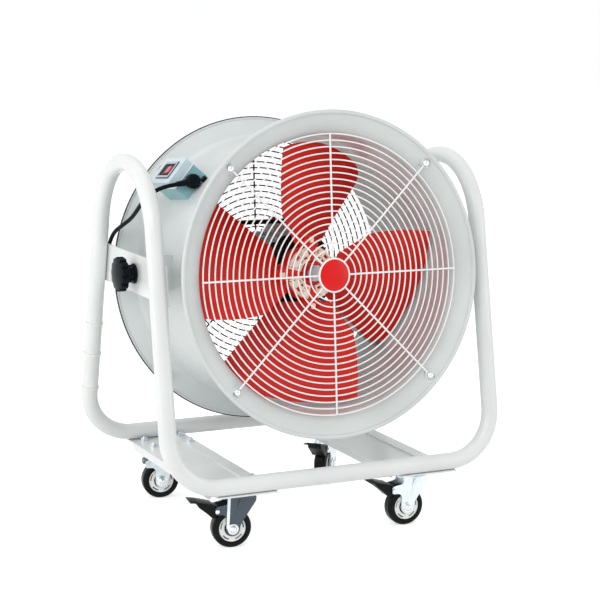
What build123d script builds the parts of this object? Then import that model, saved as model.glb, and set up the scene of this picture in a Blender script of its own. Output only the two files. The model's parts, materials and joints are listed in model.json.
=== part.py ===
"""Drum fan: a short round duct with a four-bladed impeller, tilting in a tube frame on castors.

Millimetres. +Z is up, the fan blows towards -Y and the floor is z = 0.
"""
import os
from math import acos, asin, atan2, cos, degrees, pi, radians, sin, sqrt, tan

from build123d import *

# --- Clearances and stock -------------------------------------------------------------------
running_gap = 0.3          # between faces that pass each other
pin_gap = 0.05             # radial, round a turning pin
bolt_gap = 0.3             # radial, round a bolt shank

# --- Tube frame -----------------------------------------------------------------------------
tube_radius = 16.0
tube_wall = 2.0
frame_half_width = 337.0   # tube centre from the middle plane
rail_half_spacing = 226.0  # rail centres, front and rear
rail_height = 130.0
upright_lean = 10.97       # degrees from the vertical, in towards the top
arch_bend = 140.2
corner_bend = 96.0
rail_stub = 6.0            # straight end of an arch tube beyond its bend

# --- Pivot ----------------------------------------------------------------------------------
pivot_height = 492.0
nose_up = 5.67             # degrees, as the drum stands
axis_drop = 11.5           # drum axis below the pivot
pivot_plate_height = 73.0
pivot_plate_thick = 4.0
pivot_plate_tail = 3.0     # plate past the middle of an upright
stud_radius = 6.0
stud_tail = 5.0            # stud end inside the bracket
stud_reach = 20.0          # stud end outside the pivot plate
knob_neck_radius = 16.5
knob_neck_length = 19.0
knob_flange_radius = 19.5
knob_flange_thick = 4.0
knob_head_radius = 32.5
knob_head_thick = 20.0
knob_lobes = 8
knob_notch_radius = 5.0

# --- Drum -----------------------------------------------------------------------------------
drum_radius = 262.0
sheet = 2.5
front_reach = 194.0        # pivot to the front rim
rear_reach = 162.0
flare_length = 36.0
flare_collar = 10.0
flare_bend = 16.0
rim_radius = 305.0
lip_radius = 4.0

# --- Guards ---------------------------------------------------------------------------------
guard_rings = 19
guard_outer_ring = 260.6
guard_inner_ring = 47.5
ring_wire = 1.4            # radius
ring_sides = 8             # flats round the thin wire, one of them on the spokes
spoke_wire = 1.75          # radius
wire_sink = 0.6            # how far a welded ring sits into the spokes
guard_depth = 10.0         # seats of the guard behind the rim
screw_circle = 285.7
seat_radius = 9.5
seat_length = 10.0
eyelet_radius = 9.0
eyelet_thick = 2.4
screw_radius = 3.0
screw_head_radius = 8.0
screw_head_height = 6.5
badge_radius = 32.5
badge_thick = 4.2
badge_crown = 1.6

# --- Motor and its supports -----------------------------------------------------------------
motor_radius = 72.0
motor_wall = 7.0
motor_front = -30.0        # from the pivot, along the drum
motor_rear = 112.0
fin_count = 28
fin_height = 8.0
fin_thick = 3.0
bell_length = 16.0
rear_cover_length = 20.0
shaft_radius = 12.0
bearing_radius = 26.0
bearing_width = 14.0
rotor_radius = 40.0
rotor_length = 92.0
stator_gap = 1.0
stator_length = 104.0
support_width = 40.0
support_thick = 8.0
support_middle = 42.0      # from the pivot, along the drum
top_bar_height = 92.0      # underside above the drum axis
top_bar_end = 28.0         # past the middle plane
arm_angles = (258.0, 323.0)
boss_reach = 84.0
boss_width = 44.0
arm_foot_thick = 6.0
support_bolt_radius = 4.0
support_bolt_offset = 15.0

# --- Impeller -------------------------------------------------------------------------------
blade_count = 4
blade_tip_radius = 248.0
blade_thick = 3.0
blade_lead_offset = 70.0   # ends of the leading edge, from the blade's middle line
blade_lead_bulge = 5.0     # how far the leading edge bows out between them
blade_lead_start = 111.0   # inner end of the leading edge
blade_trail_angle = 41.5   # degrees from the middle line
blade_corner = 30.0        # rounding of the trailing tip corner
blade_root_gap = 1.5       # blade to hub, round the shank
blade_shank_radius = 13.0
blade_shank_start = 20.0
hub_radius = 54.0
hub_middle = -79.0         # from the pivot, along the drum
hub_thick = 44.0
hub_notch_radius = 15.0
hub_bolt_circle = 42.0
hub_bolt_radius = 4.0
hub_bolt_spread = 20.0     # degrees each side of a diagonal
shaft_nut_radius = 17.0
shaft_nut_thick = 10.0

# --- Pivot brackets on the drum -------------------------------------------------------------
bracket_length = 76.0
bracket_height = 66.0
bracket_sheet = 4.0

# --- Switch box -----------------------------------------------------------------------------
box_angle = 139.8          # degrees round the drum, from +X towards +Z
box_front = -24.0          # from the pivot, along the drum
box_length = 97.0
box_width = 59.0
box_height = 50.0
lid_height = 18.0
box_wall = 2.5
box_corner = 3.0
bezel_length = 60.0
bezel_width = 37.0
bezel_border = 6.0
bezel_stand = 2.5
bezel_depth = 14.0
rocker_tilt = 8.0          # degrees either side of level
rocker_pivot_radius = 1.5
rocker_depth = 9.0
gland_height = 16.4        # gland axis above the drum
gland_hex_radius = 12.0
gland_hex_thick = 5.0
gland_radius = 13.0
gland_length = 16.0
relief_length = 24.0
relief_radius = 6.5
relief_droop = 8.0         # degrees below level

grommet_angle = 136.2      # degrees round the drum
grommet_place = -38.0      # from the pivot, along the drum
grommet_radius = 7.0
grommet_height = 6.0
grommet_stem = 4.0

# --- Castors --------------------------------------------------------------------------------
wheel_radius = 37.5
tyre_width = 26.0
tyre_depth = 12.0
tyre_round = 7.0
wheel_hub_radius = 12.0
wheel_hub_width = 30.0
wheel_web_width = 18.0
wheel_slots = 6
castor_x = 183.0
castor_y = 177.0
castor_trail = 15.0
castor_plate_x = 96.0
castor_plate_y = 84.0
castor_plate_thick = 3.0
castor_bolt_x = 78.0
castor_bolt_y = 54.0
castor_bolt_radius = 4.0
castor_race_radius = 27.0
castor_race_depth = 7.0
kingpin_radius = 6.0
kingpin_head_radius = 11.0
kingpin_head_thick = 3.0
fork_sheet = 2.5
crown_radius = 31.0
crown_thick = 3.0
axle_radius = 4.0
axle_head_radius = 7.5
axle_head_thick = 5.0
fork_toe = 13.0
wing_reach = 49.0
wing_low = 66.0
wing_high = 80.0
brake_pin_radius = 2.5
brake_pin_x = -45.0
brake_pin_z = 73.0
pedal_reach = 97.0
pedal_half_width = 19.0
pedal_sheet = 2.0
channel_x = 190.0
channel_width = 118.0
channel_half_length = 236.0
channel_sheet = 3.0
channel_flange = 15.0
flange_half_length = 203.0
hem_width = 27.0
hem_half_length = 212.0
nut_radius = 7.5
nut_thick = 6.5
bolt_head_thick = 5.0
bolt_tail = 2.5

# name, side in X, side in Y, heading of the wheel in degrees, has a brake
castors = [
    ("front_left", -1, -1, -9.0, True),
    ("front_right", 1, -1, -2.0, True),
    ("rear_left", -1, 1, -8.0, False),
    ("rear_right", 1, 1, 43.0, True),
]

# --- Power cord -----------------------------------------------------------------------------
cord_radius = 4.0
cord_gap = 1.0             # between neighbouring turns of the coil
floor_gap = 0.2
coil_outer = 49.0          # radius of the outermost turn's centre line
coil_x = -56.2
coil_y = 339.3
coil_layer_halves = 3      # half turns in a layer
coil_climb_draw = 2.5      # how much the climbing half turn draws in
coil_tail = 34.0
coil_tail_turn = 14.0      # degrees, towards the coil's middle line
plug_length = 45.0
plug_width = 36.0
plug_relief = 25.0
plug_pin_radius = 2.4
plug_pin_length = 19.0
plug_pin_spacing = 19.0
cord_split_x = -316.0      # the cord's lead tilts with the drum as far as this plane
tie_width = 5.0
tie_thick = 1.2
tie_gap = 0.2

os.makedirs("parts", exist_ok=True)


def save(name, *solids):
    """Write one piece, or a group of like pieces, to its own file."""
    shape = solids[0] if len(solids) == 1 else Compound(children=list(solids))
    shape.label = name
    export_step(shape, f"parts/{name}.step")


def on_drum(shape):
    """Take a shape from the drum's own frame, with its axis along Y, to where the drum stands."""
    return Pos(0, 0, pivot_height) * Rot(-nose_up, 0, 0) * Pos(0, 0, -axis_drop) * shape


def y_cylinder(radius, y_low, y_high):
    """A solid cylinder on the Y axis."""
    return Pos(0, (y_low + y_high) / 2, 0) * Rot(90, 0, 0) * Cylinder(radius, y_high - y_low)


def y_ring(outer, inner, y_low, y_high):
    return y_cylinder(outer, y_low, y_high) - y_cylinder(inner, y_low - 1, y_high + 1)


def z_cylinder(radius, z_low, z_high, x=0.0, y=0.0):
    return Pos(x, y, (z_low + z_high) / 2) * Cylinder(radius, z_high - z_low)


def z_hexagon(radius, z_low, z_high, x=0.0, y=0.0):
    """A hexagonal prism, with its corners at the radius."""
    return Pos(x, y, z_low) * extrude(RegularPolygon(radius, 6), z_high - z_low)


def y_hexagon(radius, y_low, y_high, x=0.0, z=0.0):
    """A hexagonal prism along Y, with its corners at the radius."""
    return Pos(x, y_high, z) * Rot(90, 0, 0) * extrude(RegularPolygon(radius, 6), y_high - y_low)


def tube_along(path, radius, wall=0.0):
    """A round tube, or a rod where the wall is zero, swept along a path."""
    start = path @ 0
    plane = Plane(origin=start, z_dir=path % 0)
    section = plane * Circle(radius)
    if wall:
        section = section - plane * Circle(radius - wall)
    return sweep(section, path=path)


# --- Frame ----------------------------------------------------------------------------------
lean_run = tan(radians(upright_lean))
arch_apex = rail_height + rail_half_spacing / lean_run
arch_end_x = frame_half_width - corner_bend - rail_stub


def upright_y(z):
    """Distance of an upright's centre line from the middle plane, at a height."""
    return rail_half_spacing - (z - rail_height) * lean_run


def arch_tube(side):
    x = side * frame_half_width
    end_x = side * arch_end_x
    path = FilletPolyline(
        (end_x, -rail_half_spacing, rail_height),
        (x, -rail_half_spacing, rail_height),
        (x, 0, arch_apex),
        (x, rail_half_spacing, rail_height),
        (end_x, rail_half_spacing, rail_height),
        radius=[corner_bend, arch_bend, corner_bend],
    )
    return tube_along(Wire(path.edges()), tube_radius, tube_wall)


def rail_tube(side):
    y = side * rail_half_spacing
    path = Line((-arch_end_x, y, rail_height), (arch_end_x, y, rail_height))
    return tube_along(path, tube_radius, tube_wall)


plate_inner = frame_half_width - tube_radius - pivot_plate_thick
plate_outer = plate_inner + pivot_plate_thick


def pivot_plate(side):
    """A plate welded across the inner faces of two uprights, with its ends along their lean."""
    half = pivot_plate_height / 2
    top = upright_y(pivot_height + half) + pivot_plate_tail
    low = upright_y(pivot_height - half) + pivot_plate_tail
    face = make_face(Polyline((-low, -half), (low, -half), (top, half), (-top, half), close=True))
    plate = Plane.YZ * extrude(face, pivot_plate_thick)
    hole = Rot(0, 90, 0) * Cylinder(stud_radius + pin_gap, 4 * pivot_plate_thick)
    x = plate_inner if side > 0 else -plate_outer
    return Pos(x, 0, pivot_height) * (plate - hole)


web_top = rail_height - tube_radius
web_low = web_top - channel_sheet


def castor_channel(side):
    """A folded channel under both rails: web, two turned-down flanges and a hem on top."""
    half = channel_width / 2
    web = Pos(0, 0, web_top - channel_sheet / 2) * Box(channel_width, 2 * channel_half_length, channel_sheet)
    profile = make_face(Polyline(
        (-flange_half_length, web_low),
        (flange_half_length, web_low),
        (flange_half_length - channel_flange, web_low - channel_flange + channel_sheet),
        (-flange_half_length + channel_flange, web_low - channel_flange + channel_sheet),
        close=True,
    ))
    flange = Plane.YZ * extrude(profile, channel_sheet)
    body = web + Pos(-half, 0, 0) * flange + Pos(half - channel_sheet, 0, 0) * flange
    hem_x = half - hem_width / 2
    body += Pos(hem_x, 0, web_top + channel_sheet / 2) * Box(hem_width, 2 * hem_half_length, channel_sheet)
    body = Pos(side * channel_x, 0, 0) * body
    for end in (-1, 1):
        for dx, dy in bolt_places():
            hole = z_cylinder(castor_bolt_radius + bolt_gap, 0, 2 * rail_height)
            body -= Pos(side * castor_x + dx, end * castor_y + dy, 0) * hole
    return body


def bolt_places():
    """The four bolts of a castor plate, from its middle."""
    return [(i * castor_bolt_x / 2, j * castor_bolt_y / 2) for i in (-1, 1) for j in (-1, 1)]


def castor_bolt(x, y, seat):
    """Hexagon bolt from below, with its nut on the channel."""
    under = web_low - castor_plate_thick
    return (
        z_hexagon(nut_radius, under - bolt_head_thick, under, x, y)
        + z_cylinder(castor_bolt_radius, under - 1, seat + nut_thick + bolt_tail, x, y)
        + z_hexagon(nut_radius, seat, seat + nut_thick, x, y)
    )


save("left_arch_tube", arch_tube(-1))
save("right_arch_tube", arch_tube(1))
save("front_rail_tube", rail_tube(-1))
save("rear_rail_tube", rail_tube(1))
save("pivot_plates", pivot_plate(-1), pivot_plate(1))
save("castor_channels", castor_channel(-1), castor_channel(1))

# --- Castors --------------------------------------------------------------------------------
plate_top = web_low
plate_low = plate_top - castor_plate_thick
race_low = plate_low - castor_race_depth
crown_top = race_low - running_gap
crown_low = crown_top - crown_thick
leg_inner = wheel_hub_width / 2 + running_gap
leg_outer = leg_inner + fork_sheet


def castor_plate():
    """Bolted plate with its ball race and the riveted kingpin below."""
    body = Pos(0, 0, (plate_top + plate_low) / 2) * Box(castor_plate_x, castor_plate_y, castor_plate_thick)
    for dx, dy in bolt_places():
        body -= z_cylinder(castor_bolt_radius + bolt_gap, plate_low - 1, plate_top + 1, dx, dy)
    body += z_cylinder(castor_race_radius, race_low, plate_low)
    body += z_cylinder(kingpin_radius, crown_low - running_gap - kingpin_head_thick, race_low + 1)
    head_top = crown_low - running_gap
    return body + z_cylinder(kingpin_head_radius, head_top - kingpin_head_thick, head_top)


def fork():
    """Pressed fork: a round crown and two legs that carry the axle behind the kingpin."""
    toe = Pos(-castor_trail, wheel_radius) * Circle(fork_toe)
    leg_face = make_face(Polyline(
        (-castor_trail - fork_toe, wheel_radius),
        (-crown_radius + 7, wing_low),
        (-wing_reach, wing_low),
        (-wing_reach, wing_high - 4),
        (-crown_radius + 6, wing_high + 6),
        (-crown_radius + 6, crown_low),
        (crown_radius - 2, crown_low),
        (crown_radius - 2, crown_low - 6),
        (-castor_trail + fork_toe, wheel_radius + 6),
        (-castor_trail + fork_toe, wheel_radius),
        close=True,
    )) + toe
    leg_face -= Pos(-castor_trail, wheel_radius) * Circle(axle_radius + pin_gap)
    leg_face -= Pos(brake_pin_x, brake_pin_z) * Circle(brake_pin_radius + pin_gap)
    leg = extrude(Plane.XZ * leg_face, -fork_sheet)
    crown = z_cylinder(crown_radius, crown_low, crown_top)
    body = crown + Pos(0, leg_inner, 0) * leg + Pos(0, -leg_outer, 0) * leg
    return body - z_cylinder(kingpin_radius + pin_gap, crown_low - 1, crown_top + 1)


def axle():
    """Axle bolt through both legs, with a nut."""
    rod = y_cylinder(axle_radius, -leg_outer - axle_head_thick, leg_outer + axle_head_thick + 2)
    head = y_hexagon(axle_head_radius, -leg_outer - axle_head_thick, -leg_outer)
    nut = y_hexagon(axle_head_radius, leg_outer, leg_outer + axle_head_thick)
    return Pos(-castor_trail, 0, wheel_radius) * (rod + head + nut)


def wheel_core():
    """Moulded wheel centre with a deep web, slots near the rim and a long hub."""
    rim = wheel_radius - tyre_depth
    body = y_ring(rim, rim - 3.5, -tyre_width / 2 + 1, tyre_width / 2 - 1)
    body += y_ring(rim - 3, wheel_hub_radius - 1, -wheel_web_width / 2, wheel_web_width / 2)
    body += y_ring(wheel_hub_radius, axle_radius + pin_gap, -wheel_hub_width / 2, wheel_hub_width / 2)
    slot_circle = (rim - 3.5 + wheel_hub_radius) / 2
    slot_depth = rim - wheel_hub_radius - 7.5
    for k in range(wheel_slots):
        slot = Pos(0, 0, slot_circle) * Box(slot_circle * 0.7, wheel_web_width + 2, slot_depth)
        body -= Rot(0, 360 / wheel_slots * (k + 0.5), 0) * slot
    return Pos(-castor_trail, 0, wheel_radius) * body


def tyre():
    rim = wheel_radius - tyre_depth
    half = tyre_width / 2
    flat = half - tyre_round
    outline = (
        Line((rim, -half), (wheel_radius - tyre_round, -half))
        + ThreePointArc(
            (wheel_radius - tyre_round, -half),
            (wheel_radius - tyre_round * (1 - sin(pi / 4)), -flat - tyre_round * sin(pi / 4)),
            (wheel_radius, -flat),
        )
        + Line((wheel_radius, -flat), (wheel_radius, flat))
        + ThreePointArc(
            (wheel_radius, flat),
            (wheel_radius - tyre_round * (1 - sin(pi / 4)), flat + tyre_round * sin(pi / 4)),
            (wheel_radius - tyre_round, half),
        )
        + Line((wheel_radius - tyre_round, half), (rim, half))
        + Line((rim, half), (rim, -half))
    )
    ring = revolve(make_face(outline), Axis.Y)
    return Pos(-castor_trail, 0, wheel_radius) * ring


def brake_pedal():
    """Foot lever: a shoe on a cross pin between the fork's wings, under a sheet tread."""
    shoe_half = leg_inner - running_gap
    shoe_face = make_face(Polyline(
        (brake_pin_x + 6, brake_pin_z + 3),
        (brake_pin_x + 3, brake_pin_z + 8),
        (-pedal_reach + 14, wing_high + 11),
        (-pedal_reach + 16, wing_high + 3),
        (-pedal_reach + 34, wing_low + 3),
        (brake_pin_x - 9, brake_pin_z - 13),
        (brake_pin_x - 4, brake_pin_z - 13),
        (brake_pin_x + 4, brake_pin_z - 3),
        close=True,
    ))
    body = Pos(0, -shoe_half, 0) * extrude(Plane.XZ * shoe_face, -2 * shoe_half)
    tread_face = make_face(Polyline(
        (brake_pin_x + 3, brake_pin_z + 8),
        (-pedal_reach + 14, wing_high + 11),
        (-pedal_reach, wing_high + 12.5),
        (-pedal_reach, wing_high + 12.5 + pedal_sheet),
        (-pedal_reach + 14, wing_high + 11 + pedal_sheet),
        (brake_pin_x + 3, brake_pin_z + 8 + pedal_sheet),
        close=True,
    ))
    tread = Pos(0, -pedal_half_width, 0) * extrude(Plane.XZ * tread_face, -2 * pedal_half_width)
    narrow = Box(2 * pedal_reach, 2 * shoe_half, 4 * wheel_radius)
    wide_end = Pos(-wing_reach - 2 - pedal_reach / 2, 0, 0) * Box(
        pedal_reach, 4 * pedal_half_width, 8 * wheel_radius)
    body += tread & (narrow + wide_end)
    pin_half = leg_outer + running_gap + 2
    body += Pos(brake_pin_x, 0, brake_pin_z) * y_cylinder(brake_pin_radius, -pin_half, pin_half)
    for side in (-1, 1):
        middle = side * (leg_outer + running_gap + 1)
        body += Pos(brake_pin_x, middle, brake_pin_z) * Rot(90, 0, 0) * Cylinder(4.5, 2)
    return body


plates = []
bolts = []
for label, side_x, side_y, heading, braked in castors:
    place = Pos(side_x * castor_x, side_y * castor_y, 0)
    turned = place * Rot(0, 0, heading)
    plates.append(place * castor_plate())
    for dx, dy in bolt_places():
        seat = web_top + (channel_sheet if dx > 0 else 0)
        bolts.append(castor_bolt(side_x * castor_x + dx, side_y * castor_y + dy, seat))
    save(f"{label}_fork", turned * fork())
    save(f"{label}_axle", turned * axle())
    save(f"{label}_wheel_core", turned * wheel_core())
    save(f"{label}_tyre", turned * tyre())
    if braked:
        save(f"{label}_brake_pedal", turned * brake_pedal())
save("castor_plates", *plates)
save("castor_bolts", *bolts)

# --- Drum and guards ------------------------------------------------------------------------
front_seam = -front_reach + flare_length
rear_seam = rear_reach - flare_length


def flare(rim_y, outward):
    """Spun end ring: collar, cone and rolled lip, with four welded seats for the guard screws."""
    centre = drum_radius - sheet / 2
    seam_y = rim_y - outward * flare_length
    lip_y = rim_y - outward * lip_radius
    path = FilletPolyline(
        (centre, seam_y),
        (centre, seam_y + outward * flare_collar),
        (rim_radius - lip_radius, lip_y),
        radius=flare_bend,
    )
    section = trace(path, sheet) + Pos(rim_radius - lip_radius, lip_y) * Circle(lip_radius)
    ring = revolve(section, Axis.Y)
    seat_y = rim_y - outward * guard_depth
    back_y = seat_y - outward * seat_length
    for k in range(4):
        place = Rot(0, 45 + 90 * k, 0) * Pos(screw_circle, 0, 0)
        ring += place * y_cylinder(seat_radius, min(seat_y, back_y), max(seat_y, back_y))
        ring -= place * y_cylinder(seat_radius, min(seat_y, rim_y), max(seat_y, rim_y))
        ring -= place * y_cylinder(screw_radius, min(back_y, seat_y) - 1, max(back_y, seat_y) + 1)
    return ring


def guard(rim_y, outward):
    """Welded wire guard: rings behind four crossing spokes, the diagonal ones ending in eyelets."""
    seat_y = rim_y - outward * guard_depth
    spoke_y = seat_y + outward * spoke_wire
    ring_y = spoke_y - outward * (spoke_wire + ring_wire - wire_sink)
    pitch = (guard_outer_ring - guard_inner_ring) / (guard_rings - 1)
    body = None
    for k in range(4):
        diagonal = k % 2 == 1
        half = screw_circle - screw_head_radius - 0.5 if diagonal else guard_outer_ring
        spoke = Rot(0, 45 * k, 0) * Pos(0, spoke_y, 0) * Rot(0, 90, 0) * Cylinder(spoke_wire, 2 * half)
        body = spoke if body is None else body + spoke
    for k in range(4):
        low = min(seat_y, seat_y + outward * eyelet_thick)
        eye = y_ring(eyelet_radius, screw_radius + bolt_gap, low, low + eyelet_thick)
        body += Rot(0, 45 + 90 * k, 0) * Pos(screw_circle, 0, 0) * eye
    for k in range(guard_rings):
        wire = RegularPolygon(ring_wire, ring_sides, major_radius=False, rotation=180 / ring_sides)
        body += revolve(Pos(guard_inner_ring + k * pitch, ring_y) * wire, Axis.Y)
    return body


def guard_screw(rim_y, outward):
    """Dome-headed screw through an eyelet into a seat of the flare."""
    seat = rim_y - outward * (guard_depth - eyelet_thick)
    ball = (screw_head_radius ** 2 + screw_head_height ** 2) / (2 * screw_head_height)
    head = Pos(0, 0, screw_head_height - ball) * Sphere(ball)
    head &= Pos(0, 0, screw_head_height) * Cylinder(screw_head_radius, 2 * screw_head_height)
    shank = z_cylinder(screw_radius, -seat_length - eyelet_thick, 0.5)
    turn = Rot(90, 0, 0) if outward < 0 else Rot(-90, 0, 0)
    return Pos(screw_circle, seat, 0) * turn * (head + shank)


def badge():
    """Plain domed disc over the crossing of the spokes."""
    spoke_face = -front_reach + guard_depth - 2 * spoke_wire
    ball = (badge_radius ** 2 + badge_crown ** 2) / (2 * badge_crown)
    crown = Pos(0, 0, badge_thick - ball) * Sphere(ball)
    disc = Pos(0, 0, badge_thick / 2) * Cylinder(badge_radius, badge_thick)
    return Pos(0, spoke_face, 0) * Rot(90, 0, 0) * (disc & crown)


def at_grommet(shape):
    """Take a shape built with +X away from the drum to the hole for the motor's lead."""
    return Rot(0, -grommet_angle, 0) * Pos(0, grommet_place, 0) * shape


def x_cylinder(radius, low, high):
    return Pos((low + high) / 2, 0, 0) * Rot(0, 90, 0) * Cylinder(radius, high - low)


def x_hexagon(radius, low, high):
    return Pos(low, 0, 0) * Rot(0, 90, 0) * extrude(RegularPolygon(radius, 6), high - low)


def lead_grommet():
    """Hexagonal grommet for the motor's lead, held by a nut inside the drum."""
    inside = drum_radius - sheet
    body = x_hexagon(grommet_radius, inside, drum_radius + grommet_height)
    body -= y_cylinder(drum_radius, -drum_radius, drum_radius)
    body += x_cylinder(grommet_stem, inside - 6, drum_radius + 1)
    return body + x_hexagon(grommet_radius, inside - 4.2, inside - 0.2)


shell = y_ring(drum_radius, drum_radius - sheet, front_seam, rear_seam)
shell -= at_grommet(x_cylinder(grommet_stem + bolt_gap, drum_radius - 10, drum_radius + 10))
save("drum_shell", on_drum(shell))
save("motor_lead_grommet", on_drum(at_grommet(lead_grommet())))
save("front_flare", on_drum(flare(-front_reach, -1)))
save("rear_flare", on_drum(flare(rear_reach, 1)))
save("front_guard", on_drum(guard(-front_reach, -1)))
save("rear_guard", on_drum(guard(rear_reach, 1)))
screws = []
for rim_y, outward in ((-front_reach, -1), (rear_reach, 1)):
    for k in range(4):
        screws.append(on_drum(Rot(0, 45 + 90 * k, 0) * guard_screw(rim_y, outward)))
save("guard_screws", *screws)
save("badge", on_drum(badge()))

# --- Motor ----------------------------------------------------------------------------------
motor_bore = motor_radius - motor_wall
bell_front = motor_front - bell_length
cover_rear = motor_rear + rear_cover_length
front_bearing = motor_front - bearing_width / 2
rear_bearing = motor_rear - 2 + bearing_width / 2


def motor_body():
    """Ribbed motor frame with three flat bosses for its supports."""
    body = y_cylinder(motor_radius, motor_front, motor_rear)
    for k in range(fin_count):
        fin = Pos(0, (motor_front + motor_rear) / 2, motor_radius + fin_height / 2 - 2) * Box(
            fin_thick, motor_rear - motor_front - 10, fin_height + 4)
        body += Rot(0, 360 / fin_count * (k + 0.5), 0) * fin
    for angle, reach in [(90.0, top_bar_height)] + [(a, boss_reach) for a in arm_angles]:
        boss = Pos((motor_bore + reach) / 2, support_middle, 0) * Box(
            reach - motor_bore, support_width, boss_width)
        body += Rot(0, -angle, 0) * boss
    return body - y_cylinder(motor_bore, motor_front - 1, motor_rear + 1)


def motor_bell():
    """Front end shield round the front bearing."""
    body = y_cylinder(motor_radius + 2, motor_front - 6, motor_front)
    body += y_cylinder(bearing_radius + 12, bell_front, motor_front)
    body -= y_cylinder(bearing_radius, front_bearing - bearing_width / 2, motor_front + 1)
    return body - y_cylinder(shaft_radius + 1, bell_front - 1, motor_front + 1)


def motor_cover():
    """Rear end shield with its domed cover over the rear bearing."""
    body = y_cylinder(motor_radius + 2, motor_rear, motor_rear + 8)
    body += y_cylinder(motor_radius - 14, motor_rear, cover_rear)
    seat_rear = rear_bearing + bearing_width / 2
    return body - y_cylinder(bearing_radius, motor_rear - 1, seat_rear)


def bearing(middle):
    low = middle - bearing_width / 2
    return y_ring(bearing_radius, shaft_radius + pin_gap, low, low + bearing_width)


def stator():
    middle = (motor_front + motor_rear) / 2
    half = stator_length / 2
    return y_ring(motor_bore, rotor_radius + stator_gap, middle - half, middle + half)


def top_bar():
    """Flat bar from the drum's left wall to the boss on top of the motor."""
    bar = Pos(top_bar_end, support_middle, top_bar_height) * Box(
        top_bar_end + drum_radius, support_width, support_thick, align=(Align.MAX, Align.CENTER, Align.MIN))
    bar &= y_cylinder(drum_radius - sheet, front_seam, rear_seam)
    for side in (-1, 1):
        bar -= z_cylinder(support_bolt_radius + bolt_gap, 0, drum_radius,
                          side * support_bolt_offset, support_middle)
    return bar


def support_arm(angle):
    """Flat arm from a motor boss to the drum, with a bolted foot. Built along +X."""
    arm = Pos((boss_reach + drum_radius) / 2, support_middle, 0) * Box(
        drum_radius - boss_reach, support_width, support_thick)
    foot = Pos(boss_reach + arm_foot_thick / 2, support_middle, 0) * Box(
        arm_foot_thick, support_width, boss_width)
    body = (arm + foot) & y_cylinder(drum_radius - sheet, front_seam, rear_seam)
    for side in (-1, 1):
        body -= Pos(0, support_middle, side * support_bolt_offset) * Rot(0, 90, 0) * Cylinder(
            support_bolt_radius + bolt_gap, 2 * drum_radius)
    return Rot(0, -angle, 0) * body


def support_bolt(seat):
    """Hexagon bolt whose head bears on the seat, along +X, with its shank in a boss."""
    shank = Rot(0, 90, 0) * Cylinder(support_bolt_radius, 12)
    head = Rot(0, 90, 0) * extrude(RegularPolygon(nut_radius, 6), bolt_head_thick)
    return Pos(seat - 5, 0, 0) * shank + Pos(seat, 0, 0) * head


def bolt_hole(seat):
    return Pos(seat - 6, 0, 0) * Rot(0, 90, 0) * Cylinder(support_bolt_radius, 14)


motor_frame = motor_body()
motor_bolts = []
seats = [(90.0, top_bar_height + support_thick)]
seats += [(angle, boss_reach + arm_foot_thick) for angle in arm_angles]
for angle, seat in seats:
    for side in (-1, 1):
        place = Rot(0, -angle, 0) * Pos(0, support_middle, side * support_bolt_offset)
        motor_bolts.append(on_drum(place * support_bolt(seat)))
        motor_frame -= place * bolt_hole(seat)
save("motor_body", on_drum(motor_frame))
save("motor_front_bell", on_drum(motor_bell()))
save("motor_rear_cover", on_drum(motor_cover()))
save("motor_bearings", on_drum(bearing(front_bearing)), on_drum(bearing(rear_bearing)))
save("motor_stator", on_drum(stator()))
save("motor_top_bar", on_drum(top_bar()))
save("motor_arms", *[on_drum(support_arm(angle)) for angle in arm_angles])
save("motor_bolts", *motor_bolts)

# --- Impeller -------------------------------------------------------------------------------
hub_front = hub_middle - hub_thick / 2
hub_rear = hub_middle + hub_thick / 2


def shaft():
    """Motor shaft with its rotor, and the nut that holds the hub."""
    middle = (motor_front + motor_rear) / 2
    body = y_cylinder(shaft_radius, hub_front - shaft_nut_thick - 3, rear_bearing + bearing_width / 2 - 1)
    body += y_cylinder(rotor_radius, middle - rotor_length / 2, middle + rotor_length / 2)
    return body + y_hexagon(shaft_nut_radius, hub_front - shaft_nut_thick, hub_front)


def hub():
    """Cast hub clamped round the blade shanks, notched on its diagonals."""
    body = y_cylinder(hub_radius, hub_front, hub_rear)
    for k in range(blade_count):
        notch = Pos(hub_radius + 6, 0, 0) * y_cylinder(hub_notch_radius, hub_front - 1, hub_rear + 1)
        body -= Rot(0, 45 + 90 * k, 0) * notch
        socket = Pos(0, hub_middle, (blade_shank_start + hub_radius) / 2 + 5) * Cylinder(
            blade_shank_radius, hub_radius - blade_shank_start + 10)
        body -= Rot(0, 90 * k, 0) * socket
        for spread in (-hub_bolt_spread, hub_bolt_spread):
            hole = y_cylinder(hub_bolt_radius + bolt_gap, hub_front - 1, hub_rear + 1)
            body -= Rot(0, 90 * k + 45 + spread, 0) * Pos(hub_bolt_circle, 0, 0) * hole
    return body - y_cylinder(shaft_radius, hub_front - 1, hub_rear + 1)


def hub_bolt(angle):
    front = y_hexagon(6.5, hub_front - 5, hub_front)
    rear = y_hexagon(6.5, hub_rear, hub_rear + 5)
    rod = y_cylinder(hub_bolt_radius, hub_front - 5, hub_rear + 7)
    return Rot(0, angle, 0) * Pos(hub_bolt_circle, 0, 0) * (front + rear + rod)


# radius of a section, axial place of its middle and slope of its chord across the blade
blade_sections = [(44.0, -79.0, 0.80), (110.0, -82.0, 0.62), (180.0, -92.0, 0.53), (256.0, -106.0, 0.465)]


def blade_section(radius, middle, slope):
    """Thin cambered strip across the blade, in the plane square to its middle line."""
    left = -blade_lead_offset - 15
    right = radius * tan(radians(blade_trail_angle)) + 20
    camber = 0.05 * (right - left)
    half = blade_thick / 2
    points = []
    for t in (0.0, 0.5, 1.0):
        x = left + (right - left) * t
        y = middle + slope * x + camber * 4 * t * (1 - t)
        points.append((x, y))
    near = [(x, y - half) for x, y in points]
    far = [(x, y + half) for x, y in points]
    outline = (
        ThreePointArc(near[0], near[1], near[2])
        + Line(near[2], far[2])
        + ThreePointArc(far[2], far[1], far[0])
        + Line(far[0], near[0])
    )
    return Pos(0, 0, radius) * make_face(outline)


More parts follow.
